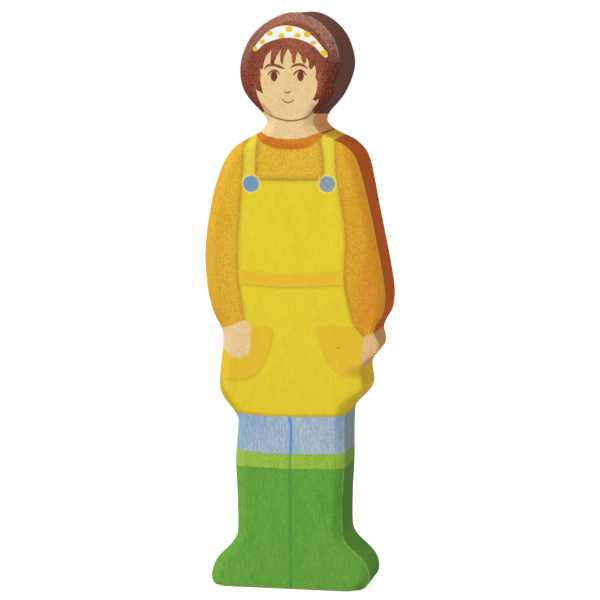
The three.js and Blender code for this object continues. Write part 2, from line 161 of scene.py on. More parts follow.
wallTilt = 0.2      # a face of the side wall points less than this to the front or the back
micro = 1e6         # corners are compared in whole micrometres
soleReach = 20      # micrometres above the floor that still belong to the sole


def sawnOutline(face):
    # walk the corners of the board's side walls at the front (-1) or the back (1), from the right end
    # of the sole to the left one
    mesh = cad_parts["wood_blank"].data
    links = {}
    for wall in mesh.polygons:
        if abs(wall.normal.y) > wallTilt:
            continue
        corners = [mesh.vertices[i].co for i in wall.vertices]
        near = [(round(c.x * micro), round(c.z * micro)) for c in corners if c.y * face > 0]
        for a in near:
            links.setdefault(a, set()).update(b for b in near if b != a)
    start = max((p for p in links if p[1] < soleReach), key=lambda p: p[0])
    path = [start]
    here = max(links[start], key=lambda p: p[1])
    while here != start:
        path.append(here)
        here = next((p for p in links[here] if p not in path), start)
    return np.array(path, float) / (micro * mm)


def outwardNormals(line):
    run = np.gradient(line, axis=0)
    normal = np.stack([run[:, 1], -run[:, 0]], 1)
    return normal / np.linalg.norm(normal, axis=1)[:, None]


def sandedWidths(line):
    length = np.concatenate([[0], np.cumsum(np.linalg.norm(np.diff(line, axis=0), axis=1))])
    reach = sandedEdge["cornerReach"]
    before = np.stack([np.interp(length - reach, length, line[:, k]) for k in (0, 1)], 1)
    after = np.stack([np.interp(length + reach, length, line[:, k]) for k in (0, 1)], 1)
    a, b = line - before, after - line
    turn = a[:, 0] * b[:, 1] - a[:, 1] * b[:, 0]
    sides = np.linalg.norm(a, axis=1) * np.linalg.norm(b, axis=1) * np.linalg.norm(a + b, axis=1)
    radius = np.where(turn > 1e-6, sides / (2 * np.maximum(turn, 1e-6)), 1e3)
    width = np.minimum(sandedEdge["width"], sandedEdge["cornerShare"] * radius)
    low, high = sandedEdge["sparing"]
    spared = (line[:, 0] > 0) & (line[:, 1] > low) & (line[:, 1] < high)
    width[spared] = np.minimum(width[spared], sandedEdge["eased"])
    width[[0, -1]] = sandedEdge["atSole"]
    step = sandedEdge["runout"] * np.diff(length)
    for i in range(1, len(width)):
        width[i] = min(width[i], width[i - 1] + step[i - 1])
    for i in range(len(width) - 2, -1, -1):
        width[i] = min(width[i], width[i + 1] + step[i])
    return width


def raisedRim():
    # back outline of the painted surface above the sole's bare margin, the width of the sanded edge,
    # and how far the front outline lies inside it where a wall leans
    line = smoothLine(sawnOutline(1))
    width = sandedWidths(line)
    lean = distanceToLine(line, smoothLine(sawnOutline(-1)))[0]
    bulge = np.exp(-((line[:, 1] - handBulge["height"]) / handBulge["reach"]) ** 2)
    lean -= np.where(line[:, 0] > 0, handBulge["out"] * bulge, 0)
    line = line + outwardNormals(line) * skin
    low = np.nonzero(line[:, 1] <= soleGap)[0]
    first = low[low < len(line) // 2].max()
    last = low[low > len(line) // 2].min()
    cut = line[first:last + 1].copy()
    for end, inner in ((0, 1), (-1, -2)):
        share = (soleGap - cut[end, 1]) / (cut[inner, 1] - cut[end, 1])
        cut[end] += share * (cut[inner] - cut[end])
    return cut, width[first:last + 1], lean[first:last + 1]


rimLine, rimWidth, rimLean = raisedRim()
print("outline: %d points, sanded edge %.2f to %.2f mm" % (len(rimLine), rimWidth.min(), rimWidth.max()))
print("walls lean by up to %.2f mm" % rimLean.max())

arrisSlope = math.atan(sandedEdge["depth"] / sandedEdge["width"] * sandedEdge["rounding"])
arrisDrop = skin * (1 - (1 - math.sin(arrisSlope)) / math.cos(arrisSlope))


def rimDepth(width):
    # how far the arris lies behind the face
    return sandedEdge["depth"] * width / sandedEdge["width"] + arrisDrop


def faceDepth(points, back=False):
    # half thickness of the painted figure at points of the drawing, and their distance from the rim
    distance, place = distanceToLine(points, rimLine if back else frontRim)
    width = np.interp(place, np.arange(len(rimWidth)), rimWidth)
    across = np.clip(1 - distance / (width + skin), 0, 1)
    return coatHalf - rimDepth(width) * across ** sandedEdge["rounding"], distance


# Painted edges of each coat, left to right or upwards; ragged is the shake of the brush along the grain
boots = {
    "top": [(-15, 27.5), (-10, 27.35), (-5, 27.25), (1.2, 27.2), (5.2, 27.3), (14, 27.45)],
    "ragged": 0.09,
}
bootCuff = {
    "top": [(-15, 31.35), (-12.1, 31.15), (-10, 30.9), (-6.1, 30.55), (-0.9, 30.5), (5.2, 30.7),
            (14, 31.0)],
    "ragged": 0.1,
}
apron = {
    "hem": [(-15, 39.5), (-12.2, 39.2), (-9.8, 39.0), (-5, 38.78), (-1, 38.8), (5, 38.9), (9.9, 39.15),
            (15, 39.8)],
    "ragged": 0.09,
    "left": [(-10.93, 60.1), (-11.38, 63.3), (-12.14, 68.2), (-12.4, 71.1), (-12.62, 76.1),
             (-12.36, 80.4), (-11.97, 86.0), (-11.57, 91.8), (-11.4, 95.5), (-11.15, 98.7),
             (-10.5, 100.2), (-10.1, 103)],
    "right": [(15.6, 57.0), (14.5, 58.3), (13.38, 60.2), (12.05, 65.0), (11.3, 68.5), (11.25, 71.6),
              (11.5, 76.6), (11.32, 80.8), (10.41, 86.4), (9.36, 92.0), (9.04, 96.2), (8.86, 99.8),
              (9.1, 103)],
    "strapLeft": [(-8.75, 90.9), (-8.75, 95.9), (-8.5, 100.3), (-8.9, 103)],
    "strapRight": [(6.67, 91.1), (6.62, 95.5), (6.4, 97.6), (5.9, 100.3), (6.5, 103)],
    "bibTop": [(-8.75, 90.9), (-1.2, 90.95), (6.67, 91.1)],
    "backStraps": (-8.75, 6.6),
}
collar = {
    "upper": [(-10, 103.6), (-8.3, 102.2), (-7.07, 101.39), (-5.06, 100.58), (-1.07, 100.22),
              (2.62, 100.68), (5.3, 101.83), (6.6, 103), (8, 104.6)],
    "lower": [(-9.2, 102.6), (-8.35, 100.7), (-7.34, 99.57), (-5.04, 98.48), (-1.05, 97.98),
              (2.64, 98.45), (4.9, 99.74), (5.75, 100.6), (6.9, 103)],
    "ragged": 0.04,
}
hands = {
    "cuffLeft": [(-24, 55.6), (-15.68, 58.24), (-13.4, 59.0), (-10.93, 60.1)],
    "cuffRight": [(15.6, 57.0), (17.5, 57.7), (18.9, 58.6), (25, 62)],
    "left": [(-24, 53.6), (-15.36, 53.27), (-13.9, 51.8), (-12.17, 51.55), (-10.15, 52.28),
             (-9.4, 53.6), (-9.6, 56.8), (-9.35, 58.2), (-10.93, 60.1)],
    "right": [(15.6, 57.0), (15.45, 53.9), (15.35, 50.6), (16.2, 49.2), (25, 46.5)],
}
hair = {
    "lower": [(-30, 105.8), (-6.7, 106), (3.8, 106.2), (4.7, 105.55), (30, 105.5)],
    "leftLocks": [(-6.74, 106.06), (-8.1, 108.9), (-8.53, 110.43), (-8.72, 111.02), (-7.02, 110.09),
                  (-7.51, 111.75), (-7.7, 113.05), (-7.65, 114.23), (-7.78, 115.65), (-7.36, 115.3),
                  (-7.06, 115.9), (-6.95, 116.84)],
    "fringe": [(-6.47, 118.26), (-5.33, 119.57), (-5.44, 117.92), (-5.49, 116.74), (-5.13, 116.15),
               (-4.65, 116.74), (-4.29, 117.93), (-3.16, 119.76), (-3.33, 118.52), (-3.3, 117.5),
               (-3.15, 116.85), (-2.85, 116.5), (-2.6, 116.95), (-2.49, 118.29), (-1.53, 119.95),
               (-0.8, 118.66), (-0.66, 117.4), (-0.5, 116.85), (-0.25, 116.6), (0.0, 116.95),
               (0.15, 117.7), (0.29, 118.5), (0.58, 119.32), (1.3, 118.4), (1.55, 117.4), (1.8, 116.9),
               (2.1, 116.7), (2.4, 117.0), (2.5, 117.6), (2.58, 118.1), (3.07, 117.16), (3.08, 115.98),
               (3.5, 115.33), (4.4, 116.34)],
    "rightLocks": [(4.71, 115.28), (4.54, 113.63), (4.97, 113.16), (5.03, 112.46), (4.92, 111.28),
                   (4.58, 109.86), (3.98, 108.9), (4.59, 108.62), (5.31, 109.04), (5.07, 108.21),
                   (4, 106.9), (3.77, 106.3)],
    "belowLeft": [(-2.2, 104.6), (-6, 105)],
    "belowRight": [(3.2, 105), (-2, 104.6)],
    "ragged": 0.025,
}

bootTop = drawn(boots["top"], 11, boots["ragged"])
cuffTop = drawn(bootCuff["top"], 12, bootCuff["ragged"])
hemLine = drawn(apron["hem"], 13, apron["ragged"])
dressLeft = drawn(apron["left"], 14)
dressRight = drawn(apron["right"], 15)
strapLeft = drawn(apron["strapLeft"], 16)
strapRight = drawn(apron["strapRight"], 17)
bibTop = drawn(apron["bibTop"], 18)
neckline = drawn(collar["upper"], 19, collar["ragged"])
collarLine = drawn(collar["lower"], 20)
cuffLeft = drawn(hands["cuffLeft"], 21)
cuffRight = drawn(hands["cuffRight"], 22)
handLeft = drawn(hands["left"], 23, steadyShake)
handRight = drawn(hands["right"], 24, steadyShake)
hairLower = drawn(hair["lower"], 25, smooth=False)
openingParts = ("belowLeft", "leftLocks", "fringe", "rightLocks", "belowRight")
openingPoints = sum((hair[part] for part in openingParts), [])
faceOpening = drawn(openingPoints, 26, hair["ragged"], smooth=False)
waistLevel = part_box("waistband_back_paint")[1][2] / mm


def aboveLine(line):
    return np.vstack([line, [(farOut, line[-1, 1]), (farOut, farUp), (-farOut, farUp),
                             (-farOut, line[0, 1])]])


def leftSleeve():
    return np.vstack([cuffLeft, dressLeft[1:], [(-farOut, dressLeft[-1, 1]), (-farOut, cuffLeft[0, 1])]])


def rightSleeve():
    return np.vstack([cuffRight, [(farOut, cuffRight[-1, 1]), (farOut, dressRight[-1, 1])],
                      dressRight[:0:-1]])


def backBetweenStraps():
    left, right = apron["backStraps"]
    top = apron["strapLeft"][-1][1]
    corners = [(left, waistLevel), (right, waistLevel), (right, top), (left, top), (left, waistLevel)]
    return straightLine(corners)[:-1] + (middle, 0)


# Zones in order: the first that holds a point has it, and the boots take the rest
throughZones = [
    ("hair", aboveLine(hairLower)),
    ("skin", aboveLine(neckline)),
    ("collar", aboveLine(collarLine)),
    ("handLeft", np.vstack([handLeft, cuffLeft[-2::-1]])),
    ("handRight", np.vstack([handRight, cuffRight[:0:-1]])),
    ("sleeveLeft", leftSleeve()),
    ("sleeveRight", rightSleeve()),
    ("apron", aboveLine(hemLine)),
    ("jeans", aboveLine(cuffTop)),
    ("bootCuff", aboveLine(bootTop)),
]
chestTop = straightLine([strapRight[-1], strapLeft[-1]])
chestShape = np.vstack([bibTop, strapRight[1:], chestTop[1:-1], strapLeft[:0:-1]])
frontZones = [("skin", faceOpening)] + throughZones[:7] + [("chest", chestShape)] + throughZones[7:]
backZones = throughZones[:7] + [("back", backBetweenStraps())] + throughZones[7:]


def zoneOf(points, zones):
    names = np.full(len(points), "boots", dtype="<U12")
    free = np.ones(len(points), bool)
    for name, polygon in zones:
        taken = free.copy()
        taken[free] = isInside(points[free], polygon)
        names[taken] = name
        free &= ~taken
    return names


crossingRoom = 0.2      # a rim point nearer to a crossing than this share of a step gives way to it


def splitRim(line, width, lean):
    # painted edges cross the rim at points that the faces and the side share
    a, run = line[:-1], np.diff(line, axis=0)
    places = []
    for _, polygon in throughZones:
        ring = closed(polygon)
        for c, d in zip(ring[:-1], ring[1:]):
            edge = d - c
            cross = run[:, 0] * edge[1] - run[:, 1] * edge[0]
            safe = np.where(np.abs(cross) < 1e-9, 1, cross)
            t = ((c[0] - a[:, 0]) * edge[1] - (c[1] - a[:, 1]) * edge[0]) / safe
            u = ((c[0] - a[:, 0]) * run[:, 1] - (c[1] - a[:, 1]) * run[:, 0]) / safe
            hit = (np.abs(cross) > 1e-9) & (t >= 0) & (t < 1) & (u >= 0) & (u < 1)
            places.extend(np.nonzero(hit)[0] + t[hit])
    index = np.arange(len(line), dtype=float)
    crossing = np.array(sorted(places))
    apart = np.abs(index[:, None] - crossing[None]).min(1)
    apart[[0, -1]] = 1
    kept = np.sort(np.concatenate([index[apart > crossingRoom], crossing]))
    rim = np.stack([np.interp(kept, index, line[:, k]) for k in (0, 1)], 1)
    return rim, np.interp(kept, index, width), np.interp(kept, index, lean)


rimLine, rimWidth, rimLean = splitRim(rimLine, rimWidth, rimLean)
rimInward = -outwardNormals(rimLine)
frontRim = rimLine + rimInward * rimLean[:, None]

# How finely the painted skin is divided
skinMesh = {
    "front": 0.42,          # spacing of the points on each face
    "back": 0.62,
    "insets": (0.17, 0.34, 0.5, 0.67, 0.84, 1.0),   # rings across the sanded edge, as shares of its width
    "insetKept": 0.93,      # a ring's point stays if it is this share of its inset from the rim
    "margin": 0.15,         # between the sanded edge and the even points
    "columns": 12,          # strips across the side wall
    "coat": 0.12,           # thickness of a coat's shell
    "rowShare": 0.866,      # rows of even triangles, as a share of their spacing
}


def triangulate(points, edges):
    result = delaunay_2d_cdt([Vector(p) for p in points], edges, [], 0, 1e-5, True)
    flat = np.array([(v.x, v.y) for v in result[0]])
    triangles = np.array([f for f in result[2] if len(f) == 3])
    return flat, triangles, result[3]


def chainEdges(start, count, ring=False):
    edges = [(start + i, start + i + 1) for i in range(count - 1)]
    return edges + [(start + count - 1, start)] if ring else edges


def gridPoints(low, high, spacing):
    rows = np.arange(low[1], high[1], spacing * skinMesh["rowShare"])
    columns = np.arange(low[0], high[0], spacing)
    x, z = np.meshgrid(columns, rows)
    x = x + np.where(np.arange(len(rows)) % 2, spacing / 2, 0)[:, None]
    return np.stack([x.ravel(), z.ravel()], 1)


def faceSheet(zones, rim, spacing):
    # one face of the figure, its rim first, divided along every painted edge
    points = [rim]
    edges = chainEdges(0, len(rim), ring=True)
    total = len(rim)
    for _, polygon in zones:
        points.append(polygon)
        edges += chainEdges(total, len(polygon), ring=True)
        total += len(polygon)
    for share in skinMesh["insets"]:
        inset = (rimWidth + skin) * share
        ring = rim + rimInward * inset[:, None]
        gap = distanceToLine(ring, rim)[0]
        points.append(ring[(gap > skinMesh["insetKept"] * inset) & isInside(ring, rim)])
    grid = gridPoints(rim.min(0), rim.max(0), spacing)
    grid = grid[isInside(grid, rim)]
    clear = sandedEdge["width"] + skin + skinMesh["margin"]
    points.append(grid[distanceToLine(grid, rim)[0] > clear])
    flat, triangles, sources = triangulate(np.vstack(points), edges)
    centres = flat[triangles].mean(1)
    inside = isInside(centres, rim)
    triangles, centres = triangles[inside], centres[inside]
    rimPlace = {source: k for k, group in enumerate(sources) for source in group if source < len(rim)}
    return flat, triangles, zoneOf(centres, zones), [rimPlace[i] for i in range(len(rim))]


def paintedSkin():
    # front face, back face and side wall as one surface with a zone name on each triangle
    front, frontFaces, frontNames, frontEnds = faceSheet(frontZones, frontRim, skinMesh["front"])
    back, backFaces, backNames, backEnds = faceSheet(backZones, rimLine, skinMesh["back"])
    frontHalf, frontGap = faceDepth(front)
    backHalf, backGap = faceDepth(back, back=True)
    frontPoints = np.stack([front[:, 0], -frontHalf, front[:, 1]], 1)
    backPoints = np.stack([back[:, 0], backHalf, back[:, 1]], 1)
    columns = skinMesh["columns"]
    half = coatHalf - rimDepth(rimWidth)
    rows = [np.array(frontEnds)]
    sidePoints, sideGap = [], []
    start = len(front) + len(back)
    for k in range(1, columns):
        y = half * (2 * k / columns - 1)
        ring = frontRim + (rimLine - frontRim) * k / columns
        sidePoints.append(np.stack([ring[:, 0], y, ring[:, 1]], 1))
        sideGap.append(half - np.abs(y))
        rows.append(start + (k - 1) * len(rimLine) + np.arange(len(rimLine)))
    rows.append(len(front) + np.array(backEnds))
    names = zoneOf((rimLine[:-1] + rimLine[1:]) / 2, throughZones)
    sideFaces, sideNames = [], []
    for near, far in zip(rows[:-1], rows[1:]):
        sideFaces += [np.stack([near[:-1], far[:-1], far[1:]], 1),
                      np.stack([near[:-1], far[1:], near[1:]], 1)]
        sideNames += [names, names]
    points = np.vstack([frontPoints, backPoints] + sidePoints)
    faces = np.vstack([frontFaces, backFaces[:, ::-1] + len(front)] + sideFaces)
    return {
        "points": points,
        "faces": faces,
        "names": np.concatenate([frontNames, backNames] + sideNames),
        "isSide": np.arange(len(faces)) >= len(frontFaces) + len(backFaces),
        "edge": np.concatenate([frontGap, backGap] + sideGap),
        "onWall": np.arange(len(points)) >= start,
    }


def pointNormals(points, faces):
    a, b, c = (points[faces[:, k]] for k in range(3))
    across = np.cross(b - a, c - a)
    normals = np.zeros_like(points)
    for k in range(3):
        np.add.at(normals, faces[:, k], across)
    return normals / np.maximum(np.linalg.norm(normals, axis=1), 1e-12)[:, None]


skinSurface = paintedSkin()
skinNormals = pointNormals(skinSurface["points"], skinSurface["faces"])
print("painted skin: %d points, %d triangles" % (len(skinSurface["points"]), len(skinSurface["faces"])))


def closedShell(outer, inner, faces):
    # outer faces, the same faces turned inwards, and walls along every open edge
    count = len(outer)
    edges = np.vstack([faces[:, [0, 1]], faces[:, [1, 2]], faces[:, [2, 0]]])
    key = np.sort(edges, axis=1)
    _, place, uses = np.unique(key, axis=0, return_inverse=True, return_counts=True)
    rim = edges[uses[place.ravel()] == 1]
    walls = np.vstack([
        np.stack([rim[:, 1], rim[:, 0], rim[:, 0] + count], 1),
        np.stack([rim[:, 1], rim[:, 0] + count, rim[:, 1] + count], 1),
    ])
    return np.vstack([outer, inner]), np.vstack([faces, faces[:, ::-1] + count, walls])


sharpAngle = 33     # degrees between two faces, from which their edge stays sharp


def newObject(name, data):
    piece = bpy.data.objects.new(name, data)
    bpy.context.scene.collection.objects.link(piece)
    return piece


def meshPiece(name, points, faces, pointValues, faceValues=None):
    # points in millimetres; values become attributes that the finish reads
    mesh = bpy.data.meshes.new(name)
    mesh.vertices.add(len(points))
    mesh.vertices.foreach_set("co", (points * mm).astype(np.float32).ravel())
    mesh.loops.add(len(faces) * 3)
    mesh.loops.foreach_set("vertex_index", faces.astype(np.int32).ravel())
    mesh.polygons.add(len(faces))
    mesh.polygons.foreach_set("loop_start", np.arange(0, len(faces) * 3, 3, dtype=np.int32))
    mesh.update(calc_edges=True)
    for domain, values in (("POINT", pointValues), ("FACE", faceValues or {})):
        for key, numbers in values.items():
            layer = mesh.attributes.new(key, "FLOAT", domain)
            layer.data.foreach_set("value", np.asarray(numbers, np.float32))
    mesh.shade_smooth()
    mesh.set_sharp_from_angle(angle=math.radians(sharpAngle))
    return newObject(name, mesh)


def seat(piece, slot, *nodes):
    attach(piece, "root")
    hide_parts(*nodes)


# Shader building blocks
def srgb(red, green, blue):
    channels = [c / 255 for c in (red, green, blue)]
    return tuple(c / 12.92 if c <= 0.04045 else ((c + 0.055) / 1.055) ** 2.4 for c in channels) + (1,)


def feed(tree, socket, value):
    if isinstance(value, bpy.types.NodeSocket):
        tree.links.new(value, socket)
    else:
        socket.default_value = value


def maths(tree, operation, a, b=0.0, clamp=False):
    node = tree.nodes.new("ShaderNodeMath")
    node.operation = operation
    node.use_clamp = clamp
    feed(tree, node.inputs[0], a)
    feed(tree, node.inputs[1], b)
    return node.outputs[0]


def times(tree, a, b, clamp=False):
    return maths(tree, "MULTIPLY", a, b, clamp)


def vectorMaths(tree, operation, a, b):
    node = tree.nodes.new("ShaderNodeVectorMath")
    node.operation = operation
    feed(tree, node.inputs[0], a)
    feed(tree, node.inputs[1], b)
    return node.outputs


def combined(tree, x=0.0, y=0.0, z=0.0):
    node = tree.nodes.new("ShaderNodeCombineXYZ")
    for socket, value in zip(node.inputs, (x, y, z)):
        feed(tree, socket, value)
    return node.outputs[0]


def mapped(tree, value, start, end, low=0.0, high=1.0):
    node = tree.nodes.new("ShaderNodeMapRange")
    node.interpolation_type = "SMOOTHSTEP"
    for key, number in (("Value", value), ("From Min", start), ("From Max", end), ("To Min", low),
                        ("To Max", high)):
        feed(tree, node.inputs[key], number)
    return node.outputs[0]


def mixed(tree, share, a, b):
    node = tree.nodes.new("ShaderNodeMix")
    node.data_type = "RGBA"
    feed(tree, node.inputs[0], share)
    feed(tree, node.inputs[6], a)
    feed(tree, node.inputs[7], b)
    return node.outputs[2]


def noise(tree, vector, detail, roughness=0.55):
    node = tree.nodes.new("ShaderNodeTexNoise")
    feed(tree, node.inputs["Vector"], vector)
    node.inputs["Scale"].default_value = 1
    node.inputs["Detail"].default_value = detail
    node.inputs["Roughness"].default_value = roughness
    return node.outputs["Fac"]


def stretched(tree, vector, width, length):
    # coordinates divided by the width across the grain and the length along it
    return vectorMaths(tree, "DIVIDE", vector, combined(tree, width, width, length))[0]


def newGroup(name, inputs, outputs):
    tree = bpy.data.node_groups.new(name, "ShaderNodeTree")
    for key, kind in inputs:
        tree.interface.new_socket(name=key, in_out="INPUT", socket_type=kind)
    for key in outputs:
        tree.interface.new_socket(name=key, in_out="OUTPUT", socket_type="NodeSocketFloat")
    return tree, tree.nodes.new("NodeGroupInput").outputs, tree.nodes.new("NodeGroupOutput").inputs


# Millimetres across the grain and along it
grainSizes = {"mottle": (3.2, 7.5), "fleck": (0.22, 0.28), "rubbed": (0.7, 1.4)}
# Noise between these two levels runs from nothing to all
grainCuts = {"streak": (0.32, 0.68), "mottle": (0.34, 0.66), "fleck": (0.36, 0.64), "rubbed": (0.35, 0.62)}
poreSoftness = 0.14


def woodGrainGroup():
    # streaks along the grain, pores, slow changes in how the stain took, and fine pale or dark flecks
    inputs = [("Place", "NodeSocketVector"), ("Streak Width", "NodeSocketFloat"),
              ("Streak Length", "NodeSocketFloat"), ("Pore Size", "NodeSocketFloat"),
              ("Pore Length", "NodeSocketFloat"), ("Pore Cut", "NodeSocketFloat")]
    tree, given, made = newGroup("woodGrain", inputs, ["Streak", "Pores", "Mottle", "Fleck"])
    streak = stretched(tree, given["Place"], given["Streak Width"], given["Streak Length"])
    streak = noise(tree, streak, 3, 0.6)
    feed(tree, made["Streak"], mapped(tree, streak, *grainCuts["streak"]))
    pores = noise(tree, stretched(tree, given["Place"], given["Pore Size"], given["Pore Length"]), 1.5)
    poreFull = maths(tree, "ADD", given["Pore Cut"], poreSoftness)
    feed(tree, made["Pores"], mapped(tree, pores, given["Pore Cut"], poreFull))
    mottle = noise(tree, stretched(tree, given["Place"], *grainSizes["mottle"]), 3)
    feed(tree, made["Mottle"], mapped(tree, mottle, *grainCuts["mottle"]))
    fleck = noise(tree, stretched(tree, given["Place"], *grainSizes["fleck"]), 2.0, 0.7)
    feed(tree, made["Fleck"], mapped(tree, fleck, *grainCuts["fleck"], -1.0, 1.0))
    return tree


def edgeWearGroup():
    # where handling has rubbed the arris, broken up by the grain
    inputs = [("Place", "NodeSocketVector"), ("Edge", "NodeSocketFloat"), ("Reach", "NodeSocketFloat"),
              ("Amount", "NodeSocketFloat")]
    tree, given, made = newGroup("edgeWear", inputs, ["Worn"])
    near = mapped(tree, given["Edge"], 0.0, given["Reach"], 1.0, 0.0)
    broken = noise(tree, stretched(tree, given["Place"], *grainSizes["rubbed"]), 3, 0.65)
    broken = mapped(tree, broken, *grainCuts["rubbed"])
    feed(tree, made["Worn"], times(tree, times(tree, near, broken), given["Amount"], clamp=True))
    return tree


woodGrain = woodGrainGroup()
edgeWear = edgeWearGroup()


def placed(tree, group, **values):
    node = tree.nodes.new("ShaderNodeGroup")
    node.node_tree = group
    for key, value in values.items():
        feed(tree, node.inputs[key], value)
    return node.outputs


def attribute(tree, name):
    node = tree.nodes.new("ShaderNodeAttribute")
    node.attribute_name = name
    return node.outputs["Fac"]


# A water stain on maple: every coat starts from these and changes what it needs. A tone makes the colour
# from the base where none is given
plainStain = {
    "streakWidth": 0.3, "streakLength": 5.0, "poreSize": 0.3, "poreLength": 0.7, "poreCut": 0.56,
    "pale": None, "paleTone": 1.08, "paleShare": 0.25,
    "deep": None, "deepTone": 0.9, "deepShare": 0.25, "mottleShare": 0.25,
    "pore": None, "poreTone": 0.78, "poreShare": 0.35,
    "paleFleck": None, "paleFleckTone": 1.2, "darkFleck": None, "darkFleckTone": 0.62, "fleckShare": 0.15,
    "lighter": None, "darker": None, "line": (150, 112, 48), "halo": (236, 228, 170),
    "side": None, "sideLitAndShadedShares": (1.3, 0.7), "sideShare": 0.94, "sideFade": 0.75,
    "chamfer": None, "chamferShare": 0.0, "chamferReach": (1.5, 2.3), "chamferStreak": 0.6,
    "wear": (214, 184, 138), "wearReach": 0.45, "wearAmount": 0.5,
    "knot": None, "knotColour": (110, 78, 34), "knotRadius": 0.24, "knotCore": 0.4,
    "roughness": 0.62, "roughStreak": (0.08, -0.06), "specular": 0.015, "bump": 0.25, "bumpDepth": 0.06,
}


def shaded(base, share):
    return tuple(min(255, c * share) for c in base)


def woodMaterial(name, specular):
    # a material with its tree and its shader, and Object coordinates in millimetres
    material = bpy.data.materials.new(name)
    material.use_nodes = True
    tree = material.node_tree
    principled = tree.nodes["Principled BSDF"]
    principled.inputs["Specular IOR Level"].default_value = specular
    scale = tree.nodes.new("ShaderNodeVectorMath")
    scale.operation = "SCALE"
    feed(tree, scale.inputs[0], tree.nodes.new("ShaderNodeTexCoord").outputs["Object"])
    scale.inputs["Scale"].default_value = 1 / mm
    return material, tree, principled, scale.outputs[0]


def raiseGrain(tree, principled, height, strength, depth):
    bump = tree.nodes.new("ShaderNodeBump")
    bump.inputs["Strength"].default_value = strength
    bump.inputs["Distance"].default_value = depth * mm
    feed(tree, bump.inputs["Height"], height)
    feed(tree, principled.inputs["Normal"], bump.outputs["Normal"])


def eitherWay(tree, value, colour, above, below):
    # towards one colour where the value is above 0, and towards the other where it is below
    for sign, other in ((1, above), (-1, below)):
        if other:
            colour = mixed(tree, times(tree, value, sign, clamp=True), colour, srgb(*other))
    return colour


def stain(name, base, **changes):
    look = {**plainStain, **changes}
    material, tree, principled, place = woodMaterial(name, look["specular"])
    grain = placed(tree, woodGrain, **{
        "Place": place, "Streak Width": look["streakWidth"], "Streak Length": look["streakLength"],
        "Pore Size": look["poreSize"], "Pore Length": look["poreLength"], "Pore Cut": look["poreCut"]})
    tone, line, edge, side = (attribute(tree, key) for key in ("tone", "line", "edge", "side"))
    toned = {key: look[key] or shaded(base, look[key + "Tone"])
             for key in ("pale", "deep", "pore", "paleFleck", "darkFleck")}
    colour = eitherWay(tree, tone, srgb(*base), look["lighter"], look["darker"])
    wearAmount = look["wearAmount"]
    if look["chamfer"]:
        # the chamfer colour where the worn mask lets it: rubbed paint on the hair, and on the sleeves
        # partly painted light
        rubbed = attribute(tree, "worn")
        start, end = look["chamferReach"]
        onChamfer = maths(tree, "SUBTRACT", mapped(tree, edge, start, end, 1, 0), side, clamp=True)
        lift = mapped(tree, grain["Streak"], 0, 1, look["chamferStreak"], 1.0)
        share = times(tree, times(tree, onChamfer, lift), look["chamferShare"], clamp=True)
        colour = mixed(tree, times(tree, share, rubbed), colour, srgb(*look["chamfer"]))
        wearAmount = times(tree, rubbed, wearAmount)
    unstreaked = maths(tree, "SUBTRACT", 1.0, grain["Streak"])
    for mask, share, key in ((grain["Streak"], "paleShare", "pale"), (unstreaked, "deepShare", "deep"),
                             (grain["Mottle"], "mottleShare", "deep"),
                             (grain["Pores"], "poreShare", "pore")):
        colour = mixed(tree, times(tree, mask, look[share]), colour, srgb(*toned[key]))
    if look["side"]:
        # on the side wall the tone is painted light and shade: it turns the wall's colour towards a lit or
        # a shaded copy of it
        light, dark = (shaded(look["side"], share) for share in look["sideLitAndShadedShares"])
        wall = eitherWay(tree, tone, srgb(*look["side"]), light, dark)
        colour = mixed(tree, times(tree, side, look["sideShare"]), colour, wall)
    offSide = maths(tree, "SUBTRACT", 1.0, times(tree, side, look["sideFade"]))
    fleck = times(tree, times(tree, grain["Fleck"], look["fleckShare"]), offSide)
    colour = eitherWay(tree, fleck, colour, toned["paleFleck"], toned["darkFleck"])
    colour = eitherWay(tree, line, colour, look["line"], look["halo"])
    if look["knot"]:
        reach = vectorMaths(tree, "DISTANCE", place, look["knot"])["Value"]
        near = mapped(tree, reach, look["knotCore"] * look["knotRadius"], look["knotRadius"], 1, 0)
        colour = mixed(tree, near, colour, srgb(*look["knotColour"]))
    worn = placed(tree, edgeWear, Place=place, Edge=edge, Reach=look["wearReach"], Amount=wearAmount)
    colour = mixed(tree, worn["Worn"], colour, srgb(*look["wear"]))
    feed(tree, principled.inputs["Base Color"], colour)
    rougher, smoother = (look["roughness"] + change for change in look["roughStreak"])
    feed(tree, principled.inputs["Roughness"], mapped(tree, grain["Streak"], 0, 1, rougher, smoother))
    relief = maths(tree, "SUBTRACT", grain["Streak"], grain["Pores"])
    raiseGrain(tree, principled, relief, look["bump"], look["bumpDepth"])
    return material


# Soft brown lines sprayed along painted edges: width, strength and the coats that show them
pocketLeftEdge = smoothLine([(-9.4, 58.0), (-4.87, 58.1), (-4.99, 55), (-6.12, 51.5), (-8.39, 48.1),
                             (-11.3, 47), (-18, 47)])
pocketRightEdge = smoothLine([(13.8, 58.7), (5.86, 58.5), (6.75, 54.5), (8.21, 51.4), (10.5, 48.9),
                              (13.4, 48.15), (18, 48.9)])
waistUpper = smoothLine([(-13, 71.3), (-6.55, 70.49), (-0.82, 70.34), (4.89, 70.61), (12, 71.3)])
waistLower = smoothLine([(-13, 68.35), (-6.53, 67.81), (-0.79, 67.66), (4.91, 67.94), (12, 68.6)])
jeansSeam = smoothLine([(-0.62, 38.95), (-0.25, 36.6), (-0.22, 34), (-0.36, 30.3)])
bootSeam = smoothLine([(-0.38, 30.4), (-0.42, 27.6), (-0.26, 15.6), (0.02, 0.4)])
clothes = ("apron", "sleeveLeft", "sleeveRight", "chest")
